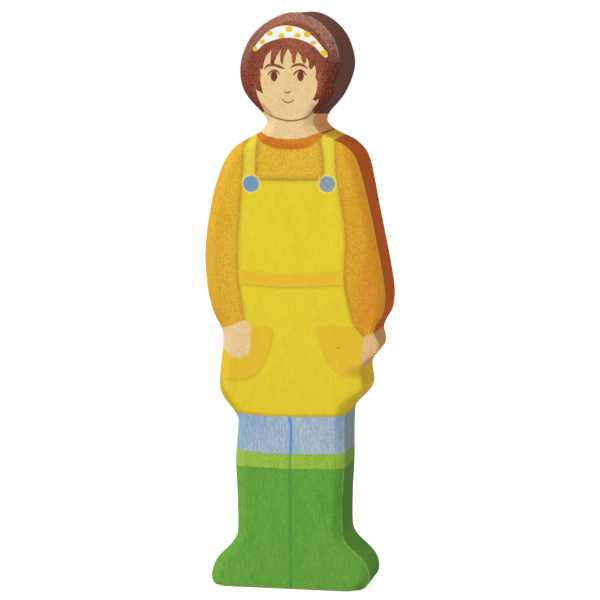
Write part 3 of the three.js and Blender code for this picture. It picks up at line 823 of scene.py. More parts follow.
airbrush = [
    {"along": dressLeft[:-6], "width": 0.5, "share": 0.42, "on": clothes},
    {"along": dressRight[:-6], "width": 0.5, "share": 0.36, "on": clothes},
    {"along": strapLeft[:-6] + (0.25, 0), "width": 0.5, "share": 0.5, "on": clothes},
    {"along": strapRight[:-6] - (0.25, 0), "width": 0.5, "share": 0.5, "on": clothes},
    {"along": bibTop + (0, 0.4), "width": 0.5, "share": 0.45, "on": clothes, "frontOnly": True},
    {"along": hemLine + (0, 0.15), "width": 0.4, "share": 0.5, "on": ("apron",)},
    {"along": pocketLeftEdge + (middle, 0), "width": 0.5, "share": 0.28, "on": ("apron",),
     "frontOnly": True},
    {"along": pocketRightEdge + (middle, 0), "width": 0.5, "share": 0.22, "on": ("apron",),
     "frontOnly": True},
    {"along": waistUpper + (middle, 0), "width": 0.35, "share": 0.2, "on": ("apron",)},
    {"along": waistLower + (middle, 0), "width": 0.4, "share": 0.45, "on": ("apron",)},
    {"along": smoothLine([(-16.6, 46.5), (-15.4, 43.4), (-13.6, 40.6), (-12.2, 39.2)]), "width": 0.45,
     "share": 0.4, "on": ("apron",)},
    {"along": smoothLine([(10.2, 39.3), (12.2, 41.2), (13.6, 43.6)]), "width": 0.9, "share": 0.14,
     "on": ("apron",), "frontOnly": True},
    {"along": smoothLine([(16.6, 49), (16.6, 58)]), "width": 4.0, "share": 0.12, "on": ("handRight",)},
    {"along": collarLine, "width": 0.3, "share": 0.35, "on": ("chest", "back")},
    {"along": closed(backBetweenStraps()), "width": 0.5, "share": 0.4, "on": ("back",)},
    {"along": smoothLine([(-7.3, 107.6), (-6.6, 106.7), (-5.3, 105.6)]), "width": 0.4, "share": 0.5,
     "on": ("skin",)},
    {"along": smoothLine([(3.3, 105.9), (4.0, 106.5), (4.6, 107.4)]), "width": 0.35, "share": 0.55,
     "on": ("skin",)},
    {"along": bootSeam + (middle, 0), "width": 0.35, "share": 0.5, "on": ("boots", "bootCuff")},
]
buttons = {
    "left": {"centre": (-9.64, 90.29), "radius": 1.78},
    "right": {"centre": (7.4, 90.48), "radius": 1.72},
}
buttonHalo = {"radius": 1.9, "width": 0.17, "share": 0.55, "faintest": 0.1}
frontFade = (6.8, 7.4)      # a front-only stroke fades in this far in front of the middle of the board


def airbrushed(zone, flat, y):
    shade = np.zeros(len(flat))
    front = ramp(-y, *frontFade)
    for stroke in airbrush:
        if zone in stroke["on"]:
            gap = distanceToLine(flat, stroke["along"])[0]
            share = stroke["share"] * (front if stroke.get("frontOnly") else 1)
            shade = np.maximum(shade, share * np.exp(-(gap / stroke["width"]) ** 2))
    if zone in clothes:
        for button in buttons.values():
            gap = np.linalg.norm(flat - button["centre"] - (middle, 0), axis=1) - buttonHalo["radius"]
            halo = front * buttonHalo["share"] * np.exp(-(gap / buttonHalo["width"]) ** 2)
            shade = np.where(halo > buttonHalo["faintest"], -halo, shade)
    return shade


# Coats on the board: colours, and where each is lighter (above 0) or darker (below 0)
def hairTone(x, z):
    top = 0.4 * spot(x, z, -1, 126.5, 8, 4.5) + 1.0 * spot(x, z, -1, 119, 5.5, 4)
    locks = 1.5 * spot(x, z, 5.4, 112.6, 0.8, 2.4) + 0.9 * spot(x, z, -8, 114, 0.6, 1.6)
    locks += 0.8 * spot(x, z, -8.9, 111.5, 0.6, 1.4)
    dark = ramp(x, 5, 8) * ramp(z, 124, 116)
    dark += spot(x, z, 5.5, 106.5, 3.5, 4) + 0.6 * spot(x, z, -8, 107, 3, 3)
    dark += 0.4 * spot(x, z, -11, 111, 2.5, 6)
    return np.clip(top + locks - dark, -1, 1)


def unchanged(x, z):
    return 0 * x


def handled(x, z):
    # how far handling has rubbed the sanded edge of the hair: most at the crown, least low on the right
    low = 0.8 * ramp(x, 5, 9) * ramp(z, 120.5, 116)
    return ramp(z, 113, 121) * (0.5 + 0.5 * ramp(x, -8, 1)) * (1 - low)


def jeansTone(x, z):
    edges = ramp(x, -9.5, -12) + 0.3 * ramp(x, 2, -8) + 1.1 * ramp(x, 9.1, 10.4) * ramp(z, 33.2, 34.6)
    return -np.clip(0.85 * edges + 0.8 * spot(x, z, -8, 37.5, 4, 2.5) + 0.15 * ramp(z, 37, 38.8), 0, 1)


def apronTone(x, z):
    low = 0.3 * ramp(z, 52, 42)
    return 0.8 * ramp(z, 89, 94) - low - 0.4 * ramp(np.abs(x), 6, 14) * ramp(z, 70, 46)


def sleeveTone(x, z):
    outer = 0.2 * ramp(-x, 14, 19) + 0.5 * ramp(x, 14, 19)
    right = ramp(x, 8, 11) * (0.25 + 0.22 * ramp(z, 98, 86))
    return -np.clip(outer + 0.1 * ramp(z, 70, 58) + right + 0.7 * spot(x, z, 17.5, 66, 3, 7)
                    + 0.4 * spot(x, z, 18.5, 62, 2, 4) + 0.5 * spot(x, z, -17, 60.5, 1.8, 4), 0, 1)


# the sleeves' right-hand sanded edge, where it shows wear and takes the chamfer colour: a deeper orange
# stain that is partly painted light on an edge turned away from the lamp
def sleeveWearAndEdgeLight(x, z):
    return ramp(x, 9, 13)


coats = [
    {"name": "boots", "zone": "boots", "slot": "boot_green",
     "tone": lambda x, z: 0.6 * ramp(z, 12, 3) - 0.5 * ramp(x, 3, 10) * ramp(z, 10, 20),
     # on the side wall the foot's top is lighter: painted light falling from above
     "wallLightAndShade": lambda x, z: 0.55 * ramp(z, 15, 11) * ramp(z, 3, 5),
     "finish": stain("bootGreenStain", (103, 164, 65), lighter=(114, 172, 69), darker=(92, 156, 64),
                     side=(79, 128, 43), pale=(130, 182, 76), paleShare=0.45, deep=(84, 148, 56),
                     deepShare=0.4, streakLength=2.2, streakWidth=0.19, pore=(76, 136, 54),
                     poreSize=0.16, poreLength=0.45, poreCut=0.53, poreShare=0.5, line=(66, 140, 62),
                     wear=(150, 186, 88), wearAmount=0.9, fleckShare=0.15)},
    {"name": "boot_cuff", "zone": "bootCuff", "slot": "cuff_green",
     "tone": lambda x, z: 0.4 * spot(x, z, 0, 29, 7, 2),
     "finish": stain("cuffGreenStain", (147, 187, 71), lighter=(164, 200, 73), side=(119, 154, 56),
                     pale=(180, 208, 86), paleShare=0.45, deep=(126, 174, 64), deepShare=0.4,
                     line=(98, 160, 62), wear=(196, 206, 120), fleckShare=0.25)},
    {"name": "jeans", "zone": "jeans", "slot": "denim_blue", "tone": jeansTone,
     "finish": stain("denimStain", (168, 189, 204), darker=(106, 150, 203), side=(143, 161, 167),
                     pale=(206, 214, 206), paleShare=0.6, deep=(132, 165, 201), deepShare=0.5,
                     streakLength=2.4, streakWidth=0.21, pore=(120, 152, 196), poreSize=0.16,
                     poreLength=0.34, poreCut=0.5, poreShare=0.5, wear=(206, 200, 176), wearAmount=0.8,
                     line=(112, 150, 196), fleckShare=0.16, paleFleck=(226, 226, 212))},
    {"name": "apron", "zone": "apron", "slot": "apron_yellow", "tone": apronTone,
     "finish": stain("apronYellowStain", (229, 209, 50), lighter=(232, 216, 80), darker=(221, 195, 48),
                     side=(238, 190, 46), pale=(233, 215, 56), paleShare=0.35, deep=(218, 192, 46),
                     deepShare=0.3, streakWidth=0.18, streakLength=2.4, pore=(212, 176, 44),
                     poreShare=0.45, poreSize=0.15, poreLength=0.55, poreCut=0.53, line=(176, 112, 40),
                     wearAmount=0.3, fleckShare=0.07, paleFleck=(240, 226, 100))},
    {"name": "collar", "zone": "collar", "slot": "collar_orange",
     "tone": lambda x, z: -0.7 * spot(x, z, -6.5, 100, 3, 1.3) - 0.85 * spot(x, z, -1.5, 98.3, 5, 1.0),
     "finish": stain("collarStain", (213, 137, 44), darker=(197, 76, 24), side=(194, 76, 4),
                     deep=(200, 104, 33), pore=(194, 92, 30), poreShare=0.35, fleckShare=0.25,
                     paleFleck=(230, 162, 68))},
    {"name": "hand_left", "zone": "handLeft", "slot": "skin",
     "tone": lambda x, z: -0.3 * ramp(z, 55, 51), "finish": "skin"},
    # the right hand's side wall is a little darker: painted shade
    {"name": "hand_right", "zone": "handRight", "slot": "skin",
     "tone": lambda x, z: -0.9 + 0 * x, "wallLightAndShade": lambda x, z: -0.2 + 0 * x, "finish": "skin"},
    {"name": "face_and_neck", "zone": "skin", "slot": "skin",
     "tone": lambda x, z: -0.45 * spot(x, z, -6, 107, 3, 3) - 0.2 * spot(x, z, 3, 103, 2, 2),
     "finish": "skin"},
    {"name": "sleeve_left", "zone": "sleeveLeft", "slot": "sweater_orange",
     "tone": sleeveTone, "worn": sleeveWearAndEdgeLight, "finish": "sweater"},
    {"name": "sleeve_right", "zone": "sleeveRight", "slot": "sweater_orange",
     "tone": sleeveTone, "worn": sleeveWearAndEdgeLight, "finish": "sweater"},
    {"name": "chest", "zone": "chest", "slot": "sweater_orange",
     "tone": lambda x, z: 0.6 + 0 * x, "finish": "sweater"},
    {"name": "back", "zone": "back", "slot": "sweater_orange",
     "tone": lambda x, z: 0.2 + 0 * x, "finish": "sweater"},
    {"name": "hair", "zone": "hair", "slot": "hair_brown", "tone": hairTone, "worn": handled,
     # darker low on the hair's side wall: painted shade where the wall turns downwards
     "wallLightAndShade": lambda x, z: -0.9 * ramp(z, 112, 107),
     "finish": stain("hairStain", (134, 66, 50), lighter=(190, 116, 86), darker=(82, 20, 6),
                     side=(108, 67, 49), streakLength=0.55, streakWidth=0.3, pale=(176, 104, 80),
                     paleShare=0.4, deep=(104, 46, 34), deepShare=0.5, pore=(88, 38, 28), poreSize=0.27,
                     poreLength=0.4, poreCut=0.52, poreShare=0.65, chamfer=(204, 170, 155),
                     chamferShare=0.94, wear=(204, 164, 142), wearAmount=0.6, fleckShare=0.36,
                     paleFleck=(182, 108, 82), darkFleck=(64, 24, 14))},
]
sharedFinishes = {
    "skin": stain("skinStain", (232, 203, 153), darker=(236, 194, 122), side=(240, 170, 100),
                  pale=(236, 212, 168), deep=(228, 192, 132), mottleShare=0.4, pore=(214, 174, 120),
                  poreShare=0.5, poreSize=0.24, poreLength=0.4, poreCut=0.54, line=(146, 80, 50),
                  wearAmount=0.15, fleckShare=0.22, paleFleck=(246, 230, 196),
                  darkFleck=(176, 132, 84)),
    # the sweater's chamfer colour on the sleeves' right edge is partly painted light
    "sweater": stain("sweaterStain", (224, 184, 51), lighter=(228, 198, 62), darker=(210, 127, 36),
                     side=(194, 76, 4), pale=(230, 194, 60), deep=(218, 164, 44), pore=(204, 128, 40),
                     poreShare=0.7, poreCut=0.5, poreLength=0.28, poreSize=0.18, chamfer=(243, 142, 40),
                     chamferShare=0.85, line=(150, 108, 52), wearAmount=0.2, fleckShare=0.22,
                     paleFleck=(240, 212, 92), darkFleck=(166, 96, 28)),
}


def layCoat(coat):
    chosen = skinSurface["names"] == coat["zone"]
    used, faces = np.unique(skinSurface["faces"][chosen], return_inverse=True)
    faces = faces.reshape(-1, 3)
    outer = skinSurface["points"][used]
    inner = outer - skinNormals[used] * skinMesh["coat"]
    points, shell = closedShell(outer, inner, faces)
    flat = outer[:, [0, 2]]
    x, z = flat[:, 0] - middle, flat[:, 1]
    onWall = skinSurface["onWall"][used]
    values = {
        # on the side wall the tone is painted light and shade; on the faces it is the stain's own change
        "tone": np.tile(np.where(onWall, coat.get("wallLightAndShade", unchanged)(x, z), coat["tone"](x, z)), 2),
        "line": np.tile(airbrushed(coat["zone"], flat, outer[:, 1]), 2),
        "edge": np.tile(skinSurface["edge"][used], 2),
        # worn: rubbed paint on the hair's edge, and on the sleeves' right edge painted light as well as
        # wear
        "worn": np.tile(coat.get("worn", unchanged)(x, z), 2),
    }
    side = np.zeros(len(shell))
    side[:len(faces)] = skinSurface["isSide"][chosen]
    piece = meshPiece(coat["name"] + "_coat", points, shell, values, {"side": side})
    finish = sharedFinishes[coat["finish"]] if isinstance(coat["finish"], str) else coat["finish"]
    piece.data.materials.append(finish)
    seat(piece, coat["slot"], coat["name"] + "_paint")


for coat in coats:
    layCoat(coat)
print("coats: %d" % len(coats))


# Second coats, laid over the first ones on a face
patch = {"spacing": 0.3, "round": 0.25, "fine": 0.2, "lift": 0.04, "sink": 0.05, "edgeRoom": 0.4}


def layPatch(name, slot, finish, polygon, spacing=patch["spacing"], back=False, lift=patch["lift"],
             clip=False, smudge=None):
    polygon = polygon + (middle, 0)
    points = [polygon]
    edges = chainEdges(0, len(polygon), ring=True)
    if clip:
        points.append(frontRim)
        edges += chainEdges(len(polygon), len(frontRim), ring=True)
    grid = gridPoints(polygon.min(0), polygon.max(0), spacing)
    grid = grid[isInside(grid, polygon)]
    points.append(grid[distanceToLine(grid, closed(polygon))[0] > patch["edgeRoom"] * spacing])
    flat, faces, _ = triangulate(np.vstack(points), edges)
    centres = flat[faces].mean(1)
    kept = isInside(centres, polygon)
    if clip:
        kept &= isInside(centres, frontRim)
    used, faces = np.unique(faces[kept], return_inverse=True)
    faces = faces.reshape(-1, 3)
    flat = flat[used]
    half = faceDepth(flat, back)[0]
    sign = 1 if back else -1
    outer = np.stack([flat[:, 0], sign * (half + lift), flat[:, 1]], 1)
    inner = np.stack([flat[:, 0], sign * (half - patch["sink"]), flat[:, 1]], 1)
    points, shell = closedShell(outer, inner, faces[:, ::-1] if back else faces)
    gap = distanceToLine(flat, closed(polygon))[0]
    shade = np.zeros(len(flat))
    if smudge:
        shade = smudge["share"] * spot(*flat.T, *smudge["centre"], *smudge["reach"])
    values = {"tone": np.zeros(len(points)), "line": np.tile(shade, 2), "edge": np.tile(gap, 2)}
    piece = meshPiece(name, points, shell, values)
    piece.data.materials.append(finish)
    seat(piece, slot, name + "_paint")


def ribbon(line, width, endShare=1.0):
    # outline of a stroke of even or tapering width along a line
    normal = outwardNormals(line)
    along = np.linspace(0, 1, len(line))
    half = width / 2 * (endShare + (1 - endShare) * np.sin(math.pi * along))
    return np.vstack([line + normal * half[:, None], (line - normal * half[:, None])[::-1]])


def ellipse(centre, radiusX, radiusZ, count=40):
    angle = np.linspace(0, 2 * math.pi, count, endpoint=False)
    return np.stack([centre[0] + radiusX * np.cos(angle), centre[1] + radiusZ * np.sin(angle)], 1)


mustard = stain("mustardStain", (228, 190, 51), pale=(231, 200, 55), deep=(220, 177, 47),
                pore=(206, 160, 46), wear=(222, 194, 52), wearReach=0.35, wearAmount=0.7,
                streakLength=2.6, streakWidth=0.2, poreSize=0.15, poreLength=0.5,
                knot=(10.12, -8.74, 54.5), fleckShare=0.08)
waistbandShape = np.vstack([
    smoothLine([(-12.2, 68.25), (-6.53, 67.81), (-0.79, 67.66), (4.91, 67.94), (11.2, 68.45)]),
    smoothLine([(11.15, 71.2), (4.89, 70.61), (-0.82, 70.34), (-6.55, 70.49), (-12.3, 71.2)])])
layPatch("waistband_front", "mustard", mustard, waistbandShape)
layPatch("waistband_back", "mustard", mustard, waistbandShape, back=True)

handEdge = [(-9.45, 53.8), (-10.2, 52.35), (-12.17, 51.62), (-13.9, 51.85), (-15.36, 53.2), (-24, 53.4)]
pocketLeftShape = np.vstack([smoothLine([(-9.4, 57.9), (-9.6, 56.8)]), smoothLine(handEdge),
                             pocketLeftEdge[::-1]])
pocketRightShape = np.vstack([pocketRightEdge, [(18, 52)],
                              smoothLine([(15.3, 50.5), (15.4, 54), (15.5, 56.9), (14.2, 58.6)])])
layPatch("pocket_left", "mustard", mustard, pocketLeftShape, clip=True)
pocketSmudge = {"centre": (13.9, 49.2), "reach": (1.5, 1.2), "share": 0.4}
layPatch("pocket_right", "mustard", mustard, pocketRightShape, clip=True, smudge=pocketSmudge)

# Buttons and headband
buttonFinishes = {
    "left": stain("buttonBlueStain", (114, 148, 190), pale=(140, 168, 198), paleShare=0.5,
                  deep=(96, 134, 186), deepShare=0.4, streakLength=0.7, wear=(200, 206, 190),
                  wearReach=0.25, wearAmount=0.5),
    "right": stain("wornButtonStain", (128, 155, 178), pale=(190, 180, 120), paleShare=0.8,
                   deep=(104, 142, 186), deepShare=0.5, streakLength=0.6, streakWidth=0.45,
                   wear=(214, 206, 150), wearReach=0.3),
}
for side, button in buttons.items():
    shape = ellipse(button["centre"], button["radius"], button["radius"])
    layPatch("button_" + side, "button_blue", buttonFinishes[side], shape, patch["round"])

headband = {
    "outer": [(-9.33, 119.82), (-8.6, 121.0), (-7.64, 122.17), (-6.4, 123.4), (-4.93, 124.35),
              (-3.1, 124.95), (-1.19, 124.95), (0.8, 124.55), (2.56, 123.73), (4.2, 122.5),
              (5.64, 120.92), (7.27, 118.44), (6.77, 118.02)],
    "inner": [(5.65, 119.01), (4.29, 120.41), (2.58, 121.4), (0.37, 122.13), (-1.51, 122.34),
              (-3.55, 122.11), (-5.59, 121.51), (-7.12, 120.75), (-8.48, 119.49), (-9.02, 119.24)],
    "dots": [(-8.91, 119.91), (-7.38, 121.47), (-5.64, 123.26), (-3.08, 122.78), (-1.39, 124.2),
             (0.5, 122.85), (2.62, 123.06), (3.97, 121.33), (6.42, 119.07)],
    "dotWidths": [0.5, 0.58, 0.68, 0.65, 0.78, 0.7, 0.76, 0.64, 0.84],
    "dotHeights": [0.62, 0.52, 0.54, 0.57, 0.6, 0.48, 0.64, 0.42, 0.66],
    "dotSize": 1.0,         # the widths and heights are multiples of this
    "dotRise": 0.05,
    "dotShake": 0.3,
    "dotWaves": 0.8,        # per millimetre
    "dotFineness": 4,
    "dotSeed": 4,
}
bandWhite = stain("bandWhitePaint", (246, 243, 236), pale=(252, 250, 246), deep=(236, 230, 220),
                  pore=(226, 214, 200), poreShare=0.15, wear=(208, 184, 168), wearReach=0.26,
                  wearAmount=0.7, roughness=0.55)
bandShape = np.vstack([smoothLine(headband["outer"]), smoothLine(headband["inner"])])
layPatch("headband", "band_white", bandWhite, bandShape)

# Seams, and the pupils
seamBlue = stain("seamBlueStain", (104, 150, 206), pale=(128, 164, 204), deep=(84, 132, 200),
                 deepShare=0.5, wearAmount=0.3, wear=(150, 178, 206), wearReach=0.15)
seamGreen = stain("seamGreenStain", (78, 146, 66), pale=(96, 158, 64), deep=(62, 134, 66),
                  deepShare=0.4, wear=(98, 156, 62), wearReach=0.15, wearAmount=0.9)
lineBrown = stain("lineBrownPaint", (112, 58, 46), pale=(128, 70, 56), deep=(98, 48, 38),
                  pore=(86, 40, 32), wearAmount=0.2)
seams = {"jeans": (0.62, 0.85), "boots": (0.26, 0.6), "bootLift": 0.02}     # width and the ends' share
layPatch("jeans_seam", "seam_blue", seamBlue, ribbon(jeansSeam, *seams["jeans"]), patch["fine"])
layPatch("boot_seam", "seam_green", seamGreen, ribbon(bootSeam, *seams["boots"]), patch["fine"],
         lift=seams["bootLift"])
pupils = {"left": (-4.66, 113.98), "right": (1.25, 114.05)}
pupilRadii = (0.74, 1.17)
for side, centre in pupils.items():
    layPatch("pupil_" + side, "line_brown", lineBrown, ellipse(centre, *pupilRadii), patch["fine"])
print("second coats laid")


# Brush lines of the face: a flat bead of paint along each path
bead = {"height": 0.12, "unevenness": 0.25, "waves": 9.0, "swell": 0.7, "sides": 12, "samples": 48,
        "step": 0.15}


def treeInput(tree, name, kind):
    return tree.interface.new_socket(name=name, in_out="INPUT", socket_type="NodeSocket" + kind).identifier


def geometryTree(name):
    tree = bpy.data.node_groups.new(name, "GeometryNodeTree")
    tree.interface.new_socket(name="Geometry", in_out="INPUT", socket_type="NodeSocketGeometry")
    tree.interface.new_socket(name="Geometry", in_out="OUTPUT", socket_type="NodeSocketGeometry")
    return tree


def chain(tree, kind, **inputs):
    node = tree.nodes.new(kind)
    for key, value in inputs.items():
        feed(tree, node.inputs[key.replace("_", " ")], value)
    return node


def brushLineTree():
    tree = geometryTree("brushLine")
    sockets = {
        "width": treeInput(tree, "Width", "Float"),
        "height": treeInput(tree, "Height", "Float"),
        "tip": treeInput(tree, "Tip Share", "Float"),
        "unevenness": treeInput(tree, "Unevenness", "Float"),
        "samples": treeInput(tree, "Samples", "Int"),
        "seed": treeInput(tree, "Seed", "Int"),
        "material": treeInput(tree, "Finish", "Material"),
    }
    given = tree.nodes.new("NodeGroupInput").outputs
    curve = chain(tree, "GeometryNodeMeshToCurve", Mesh=given["Geometry"]).outputs[0]
    curve = chain(tree, "GeometryNodeResampleCurve", Curve=curve, Count=given["Samples"]).outputs[0]
    upright = chain(tree, "GeometryNodeSetCurveNormal", Curve=curve)
    upright.mode = "Z_UP"
    radius = chain(tree, "GeometryNodeSetCurveRadius", Curve=upright.outputs[0], Radius=1.0)
    along = tree.nodes.new("GeometryNodeSplineParameter").outputs["Factor"]
    swell = maths(tree, "POWER", maths(tree, "SINE", times(tree, along, math.pi)), bead["swell"])
    body = times(tree, swell, maths(tree, "SUBTRACT", 1.0, given["Tip Share"]))
    taper = maths(tree, "ADD", body, given["Tip Share"])
    shake = tree.nodes.new("ShaderNodeTexNoise")
    shake.noise_dimensions = "1D"
    feed(tree, shake.inputs["W"], maths(tree, "ADD", times(tree, along, bead["waves"]), given["Seed"]))
    shake.inputs["Scale"].default_value = 1
    uneven = times(tree, maths(tree, "SUBTRACT", shake.outputs["Fac"], 0.5), given["Unevenness"])
    taper = maths(tree, "ADD", taper, uneven)
    circle = tree.nodes.new("GeometryNodeCurvePrimitiveCircle")
    circle.inputs["Resolution"].default_value = bead["sides"]
    circle.inputs["Radius"].default_value = 0.5
    size = combined(tree, given["Height"], given["Width"], 1.0)
    profile = chain(tree, "GeometryNodeTransform", Geometry=circle.outputs["Curve"], Scale=size)
    stroke = chain(tree, "GeometryNodeCurveToMesh", Curve=radius.outputs[0],
                   Profile_Curve=profile.outputs[0], Scale=taper, Fill_Caps=True)
    real = chain(tree, "GeometryNodeRealizeInstances", Geometry=stroke.outputs[0])
    finish = chain(tree, "GeometryNodeSetMaterial", Geometry=real.outputs[0], Material=given["Finish"])
    tree.links.new(finish.outputs[0], tree.nodes.new("NodeGroupOutput").inputs["Geometry"])
    return tree, sockets


def namedValue(tree, name):
    node = tree.nodes.new("GeometryNodeInputNamedAttribute")
    node.data_type = "FLOAT"
    node.inputs["Name"].default_value = name
    return node.outputs["Attribute"]


def dotTree():
    tree = geometryTree("paintedDots")
    sockets = {
        "size": treeInput(tree, "Dot Radius", "Float"),
        "height": treeInput(tree, "Height", "Float"),
        "unevenness": treeInput(tree, "Unevenness", "Float"),
        "seed": treeInput(tree, "Seed", "Int"),
        "material": treeInput(tree, "Finish", "Material"),
    }
    given = tree.nodes.new("NodeGroupInput").outputs
    ball = tree.nodes.new("GeometryNodeMeshIcoSphere")
    ball.inputs["Subdivisions"].default_value = headband["dotFineness"]
    ball.inputs["Radius"].default_value = 1
    size = combined(tree, given["Dot Radius"], given["Height"], given["Dot Radius"])
    flat = chain(tree, "GeometryNodeTransform", Geometry=ball.outputs["Mesh"], Scale=size)
    spread = combined(tree, namedValue(tree, "dotWidth"), 1.0, namedValue(tree, "dotHeight"))
    copies = chain(tree, "GeometryNodeInstanceOnPoints", Points=given["Geometry"],
                   Instance=flat.outputs[0], Scale=spread)
    real = chain(tree, "GeometryNodeRealizeInstances", Geometry=copies.outputs[0])
    shape = tree.nodes.new("ShaderNodeTexNoise")
    shape.noise_dimensions = "4D"
    feed(tree, shape.inputs["Vector"], tree.nodes.new("GeometryNodeInputPosition").outputs[0])
    feed(tree, shape.inputs["W"], given["Seed"])
    shape.inputs["Scale"].default_value = headband["dotWaves"] / mm
    centred = vectorMaths(tree, "SUBTRACT", shape.outputs["Color"], (0.5, 0.5, 0.5))[0]
    reach = combined(tree, given["Unevenness"], 0.0, given["Unevenness"])
    offset = vectorMaths(tree, "MULTIPLY", centred, reach)[0]
    moved = chain(tree, "GeometryNodeSetPosition", Geometry=real.outputs[0], Offset=offset)
    finish = chain(tree, "GeometryNodeSetMaterial", Geometry=moved.outputs[0], Material=given["Finish"])
    tree.links.new(finish.outputs[0], tree.nodes.new("NodeGroupOutput").inputs["Geometry"])
    return tree, sockets


def grown(name, mesh, tree, sockets, values):
    # run a tree on a mesh and keep what it makes as a plain mesh
    source = newObject(name + "_source", mesh)
    modifier = source.modifiers.new("grow", "NODES")
    modifier.node_group = tree
    for key, value in values.items():
        modifier[sockets[key]] = value
    made = bpy.data.meshes.new_from_object(source.evaluated_get(bpy.context.evaluated_depsgraph_get()))
    source.modifiers.remove(modifier)
    bpy.data.objects.remove(source)
    made.name = name
    made.shade_smooth()
    return newObject(name, made)


def pathMesh(name, line):
    half = faceDepth(line)[0]
    points = [(x * mm, -h * mm, z * mm) for (x, z), h in zip(line, half)]
    mesh = bpy.data.meshes.new(name)
    mesh.from_pydata(points, chainEdges(0, len(points)), [])
    return mesh


mouthBrown = stain("mouthBrownPaint", (154, 92, 66), pale=(172, 112, 82), deep=(134, 76, 56),
                   pore=(120, 66, 48), wearAmount=0.2)
browBrown = stain("browBrownPaint", (118, 62, 48), pale=(140, 82, 62), deep=(100, 50, 40),
                  pore=(92, 46, 36), wearAmount=0.2)
brushLines = {
    "brow_left": {"path": [(-6.82, 115.55), (-6.09, 116.22), (-4.89, 116.42), (-3.68, 116.1),
                           (-2.3, 115.6)],
                  "width": 0.64, "tip": 0.35, "finish": browBrown, "seed": 2},
    "brow_right": {"path": [(-0.92, 115.8), (-0.06, 116.36), (1.15, 116.54), (2.11, 116.2),
                            (2.75, 115.7)],
                   "width": 0.6, "tip": 0.4, "finish": browBrown, "seed": 5},
    "lid_left": {"path": [(-6.08, 114.1), (-5.48, 114.88), (-4.76, 115.24), (-3.91, 114.98),
                          (-3.34, 114.3)],
                 "width": 0.4, "tip": 0.4, "finish": browBrown, "seed": 7},
    "lid_right": {"path": [(-0.36, 114.15), (0.32, 115.0), (1.28, 115.3), (2.0, 114.9), (2.57, 114.15)],
                  "width": 0.4, "tip": 0.4, "finish": browBrown, "seed": 9},
    "nose": {"path": [(-2.42, 110.68), (-1.94, 110.4), (-1.45, 110.38), (-0.91, 110.7)],
             "width": 0.34, "tip": 0.5, "finish": mouthBrown, "seed": 12},
    "mouth": {"path": [(-2.9, 109.02), (-2.28, 108.48), (-1.5, 108.22), (-0.71, 108.44), (-0.15, 109.0)],
              "width": 0.34, "tip": 0.4, "finish": mouthBrown, "seed": 15},
    "chin_line": {"path": [(-7.11, 106.3), (-5.89, 105.6), (-3.83, 104.73), (-0.92, 104.23),
                           (1.01, 104.49), (2.69, 105.11), (4.3, 106.5)],
                  "width": 0.36, "tip": 0.7, "finish": mouthBrown, "seed": 20},
}
brushTree, brushSockets = brushLineTree()
for name, brush in brushLines.items():
    line = smoothLine(brush["path"], bead["step"]) + (middle, 0)
    values = {"width": brush["width"] * mm, "height": bead["height"] * mm, "tip": brush["tip"],
              "unevenness": bead["unevenness"], "samples": bead["samples"], "seed": brush["seed"],
              "material": brush["finish"]}
    piece = grown(name, pathMesh(name, line), brushTree, brushSockets, values)
    seat(piece, "line_brown", name + "_paint")

dotYellow = stain("dotYellowPaint", (231, 197, 44), pale=(236, 208, 64), deep=(222, 180, 36),
                  pore=(206, 164, 40), wearAmount=0.0)
dotPoints = np.array(headband["dots"]) + (middle, 0)
dotMesh = bpy.data.meshes.new("dotPoints")
dotMesh.from_pydata([(x * mm, -(coatHalf + patch["lift"]) * mm, z * mm) for x, z in dotPoints], [], [])
for name, key in (("dotWidth", "dotWidths"), ("dotHeight", "dotHeights")):
    dotMesh.attributes.new(name, "FLOAT", "POINT").data.foreach_set("value", headband[key])
dotsTree, dotSockets = dotTree()
dots = grown("headband_dots", dotMesh, dotsTree, dotSockets, {
    "size": headband["dotSize"] * mm, "height": headband["dotRise"] * mm,
    "unevenness": headband["dotShake"] * mm, "seed": headband["dotSeed"], "material": dotYellow})
seat(dots, "dot_yellow", *["headband_dot_%d_paint" % (k + 1) for k in range(len(dotPoints))])
print("brush lines: %d, dots: %d" % (len(brushLines), len(dotPoints)))


# Bare wood at the sole
maple = {
    "early": (232, 206, 160), "late": (214, 178, 126), "pore": (176, 134, 88), "poreShare": 0.4,
    "streakWidth": 0.5, "streakLength": 9.0, "poreSize": 0.3, "poreLength": 0.9, "poreCut": 0.58,
    "ringSize": (9.0, 60.0), "ringScale": 1.6, "ringBend": 1.2,
    "roughness": (0.75, 0.6), "specular": 0.25, "bump": 0.3, "bumpDepth": 0.05,
}


def bareWood():
    material, tree, principled, place = woodMaterial("bareMaple", maple["specular"])
    grain = placed(tree, woodGrain, **{
        "Place": place, "Streak Width": maple["streakWidth"], "Streak Length": maple["streakLength"],
        "Pore Size": maple["poreSize"], "Pore Length": maple["poreLength"], "Pore Cut": maple["poreCut"]})
    rings = tree.nodes.new("ShaderNodeTexWave")
    rings.wave_type = "RINGS"
    rings.rings_direction = "Z"
    feed(tree, rings.inputs["Vector"], stretched(tree, place, *maple["ringSize"]))
    rings.inputs["Scale"].default_value = maple["ringScale"]
    rings.inputs["Distortion"].default_value = maple["ringBend"]
    colour = mixed(tree, rings.outputs["Fac"], srgb(*maple["early"]), srgb(*maple["late"]))
    colour = mixed(tree, times(tree, grain["Pores"], maple["poreShare"]), colour, srgb(*maple["pore"]))
    feed(tree, principled.inputs["Base Color"], colour)
    feed(tree, principled.inputs["Roughness"], mapped(tree, grain["Streak"], 0, 1, *maple["roughness"]))
    raiseGrain(tree, principled, grain["Streak"], maple["bump"], maple["bumpDepth"])
    return material


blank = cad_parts["wood_blank"]
blank.data.materials.clear()
blank.data.materials.append(bareWood())

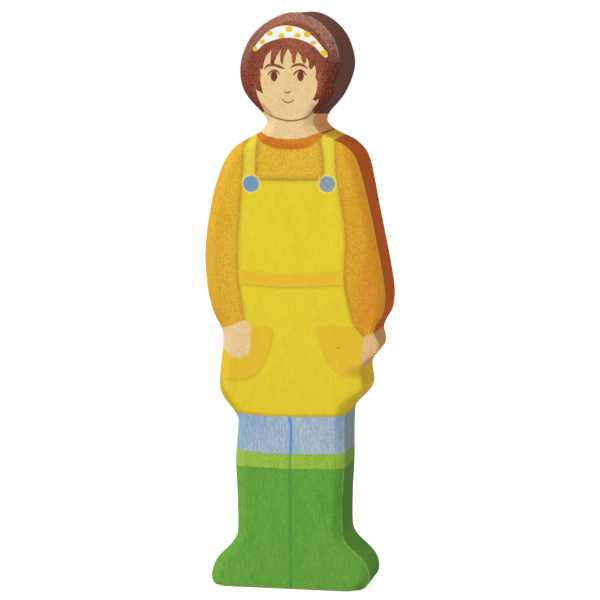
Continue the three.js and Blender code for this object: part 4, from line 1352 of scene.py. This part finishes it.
# Floor, light and camera
studio = {
    "skyLow": 0.41,             # soft light from all round, more of it from above
    "skyHigh": 0.63,
    "keyPower": 5.75,           # watts, large soft lamp on the left
    "keyPlace": (-0.5, -0.75, 0.62),
    "keySize": 0.7,
    "keyDistance": 0.9,
    "floorSize": 6.0,
    "floorColour": 0.62,
    "floorRoughness": 0.9,
    "floorGloss": 0.1,
    "horizon": (-0.6, 1.0),     # heights of the sky's direction between which its light grows
    "floorLift": 0.76,          # lifts the floor to white, and leaves the shadow
}
view = {
    "azimuth": 10.27,
    "elevation": 5.14,
    "roll": 0.5,
    "distance": 566.0,          # millimetres from the target
    "target": (-0.125, 0.0, 64.04),
    "lens": 151.6,
    "sensor": 36.0,
    "nearest": 0.01,            # metres
    "farthest": 20,
}


def seenRays(tree):
    # rays that show the background: straight to the camera, in gloss or through glass
    light = tree.nodes.new("ShaderNodeLightPath").outputs
    seen = maths(tree, "MAXIMUM", light["Is Camera Ray"], light["Is Glossy Ray"])
    return maths(tree, "MAXIMUM", seen, light["Is Transmission Ray"])


def makeFloor():
    half = studio["floorSize"] / 2
    mesh = bpy.data.meshes.new("floor")
    mesh.from_pydata([(-half, -half, 0), (half, -half, 0), (half, half, 0), (-half, half, 0)], [],
                     [(0, 1, 2, 3)])
    floor = newObject("floor", mesh)
    material = bpy.data.materials.new("paleFloor")
    material.use_nodes = True
    tree = material.node_tree
    principled = tree.nodes["Principled BSDF"]
    level = studio["floorColour"]
    principled.inputs["Base Color"].default_value = (level, level, level, 1)
    principled.inputs["Roughness"].default_value = studio["floorRoughness"]
    principled.inputs["Specular IOR Level"].default_value = studio["floorGloss"]
    principled.inputs["Emission Color"].default_value = (1, 1, 1, 1)
    feed(tree, principled.inputs["Emission Strength"], times(tree, seenRays(tree), studio["floorLift"]))
    mesh.materials.append(material)


def makeLight():
    world = bpy.data.worlds.new("studio")
    bpy.context.scene.world = world
    world.use_nodes = True
    tree = world.node_tree
    background = tree.nodes["Background"]
    background.inputs["Color"].default_value = (1, 1, 1, 1)
    direction = tree.nodes.new("ShaderNodeSeparateXYZ")
    feed(tree, direction.inputs[0], tree.nodes.new("ShaderNodeTexCoord").outputs["Generated"])
    sky = mapped(tree, direction.outputs["Z"], *studio["horizon"], studio["skyLow"], studio["skyHigh"])
    feed(tree, background.inputs["Strength"], mapped(tree, seenRays(tree), 0, 1, sky, 1.0))
    lamp = bpy.data.lights.new("key", "AREA")
    lamp.shape = "SQUARE"
    lamp.size = studio["keySize"]
    lamp.energy = studio["keyPower"]
    key = newObject("key", lamp)
    towards = Vector(studio["keyPlace"]).normalized()
    centre = Vector((0, 0, view["target"][2] * mm))
    key.location = centre + towards * studio["keyDistance"]
    key.rotation_euler = (-towards).to_track_quat("-Z", "Y").to_euler()


def makeCamera():
    azimuth, elevation, roll = (math.radians(view[key]) for key in ("azimuth", "elevation", "roll"))
    level = Vector((math.sin(azimuth), -math.cos(azimuth), 0))
    back = level * math.cos(elevation) + Vector((0, 0, math.sin(elevation)))
    right = Vector((math.cos(azimuth), math.sin(azimuth), 0))
    up = back.cross(right)
    across = math.cos(roll) * right + math.sin(roll) * up
    upward = math.cos(roll) * up - math.sin(roll) * right
    data = bpy.data.cameras.new("camera")
    data.lens = view["lens"]
    data.sensor_width = view["sensor"]
    data.clip_start = view["nearest"]
    data.clip_end = view["farthest"]
    camera = newObject("camera", data)
    place = Vector(view["target"]) * mm + back * view["distance"] * mm
    camera.matrix_world = Matrix.Translation(place) @ Matrix((across, upward, back)).transposed().to_4x4()
    bpy.context.scene.camera = camera


makeFloor()
makeLight()
makeCamera()
bpy.context.scene.view_settings.view_transform = "Standard"
print("floor, light and camera placed")
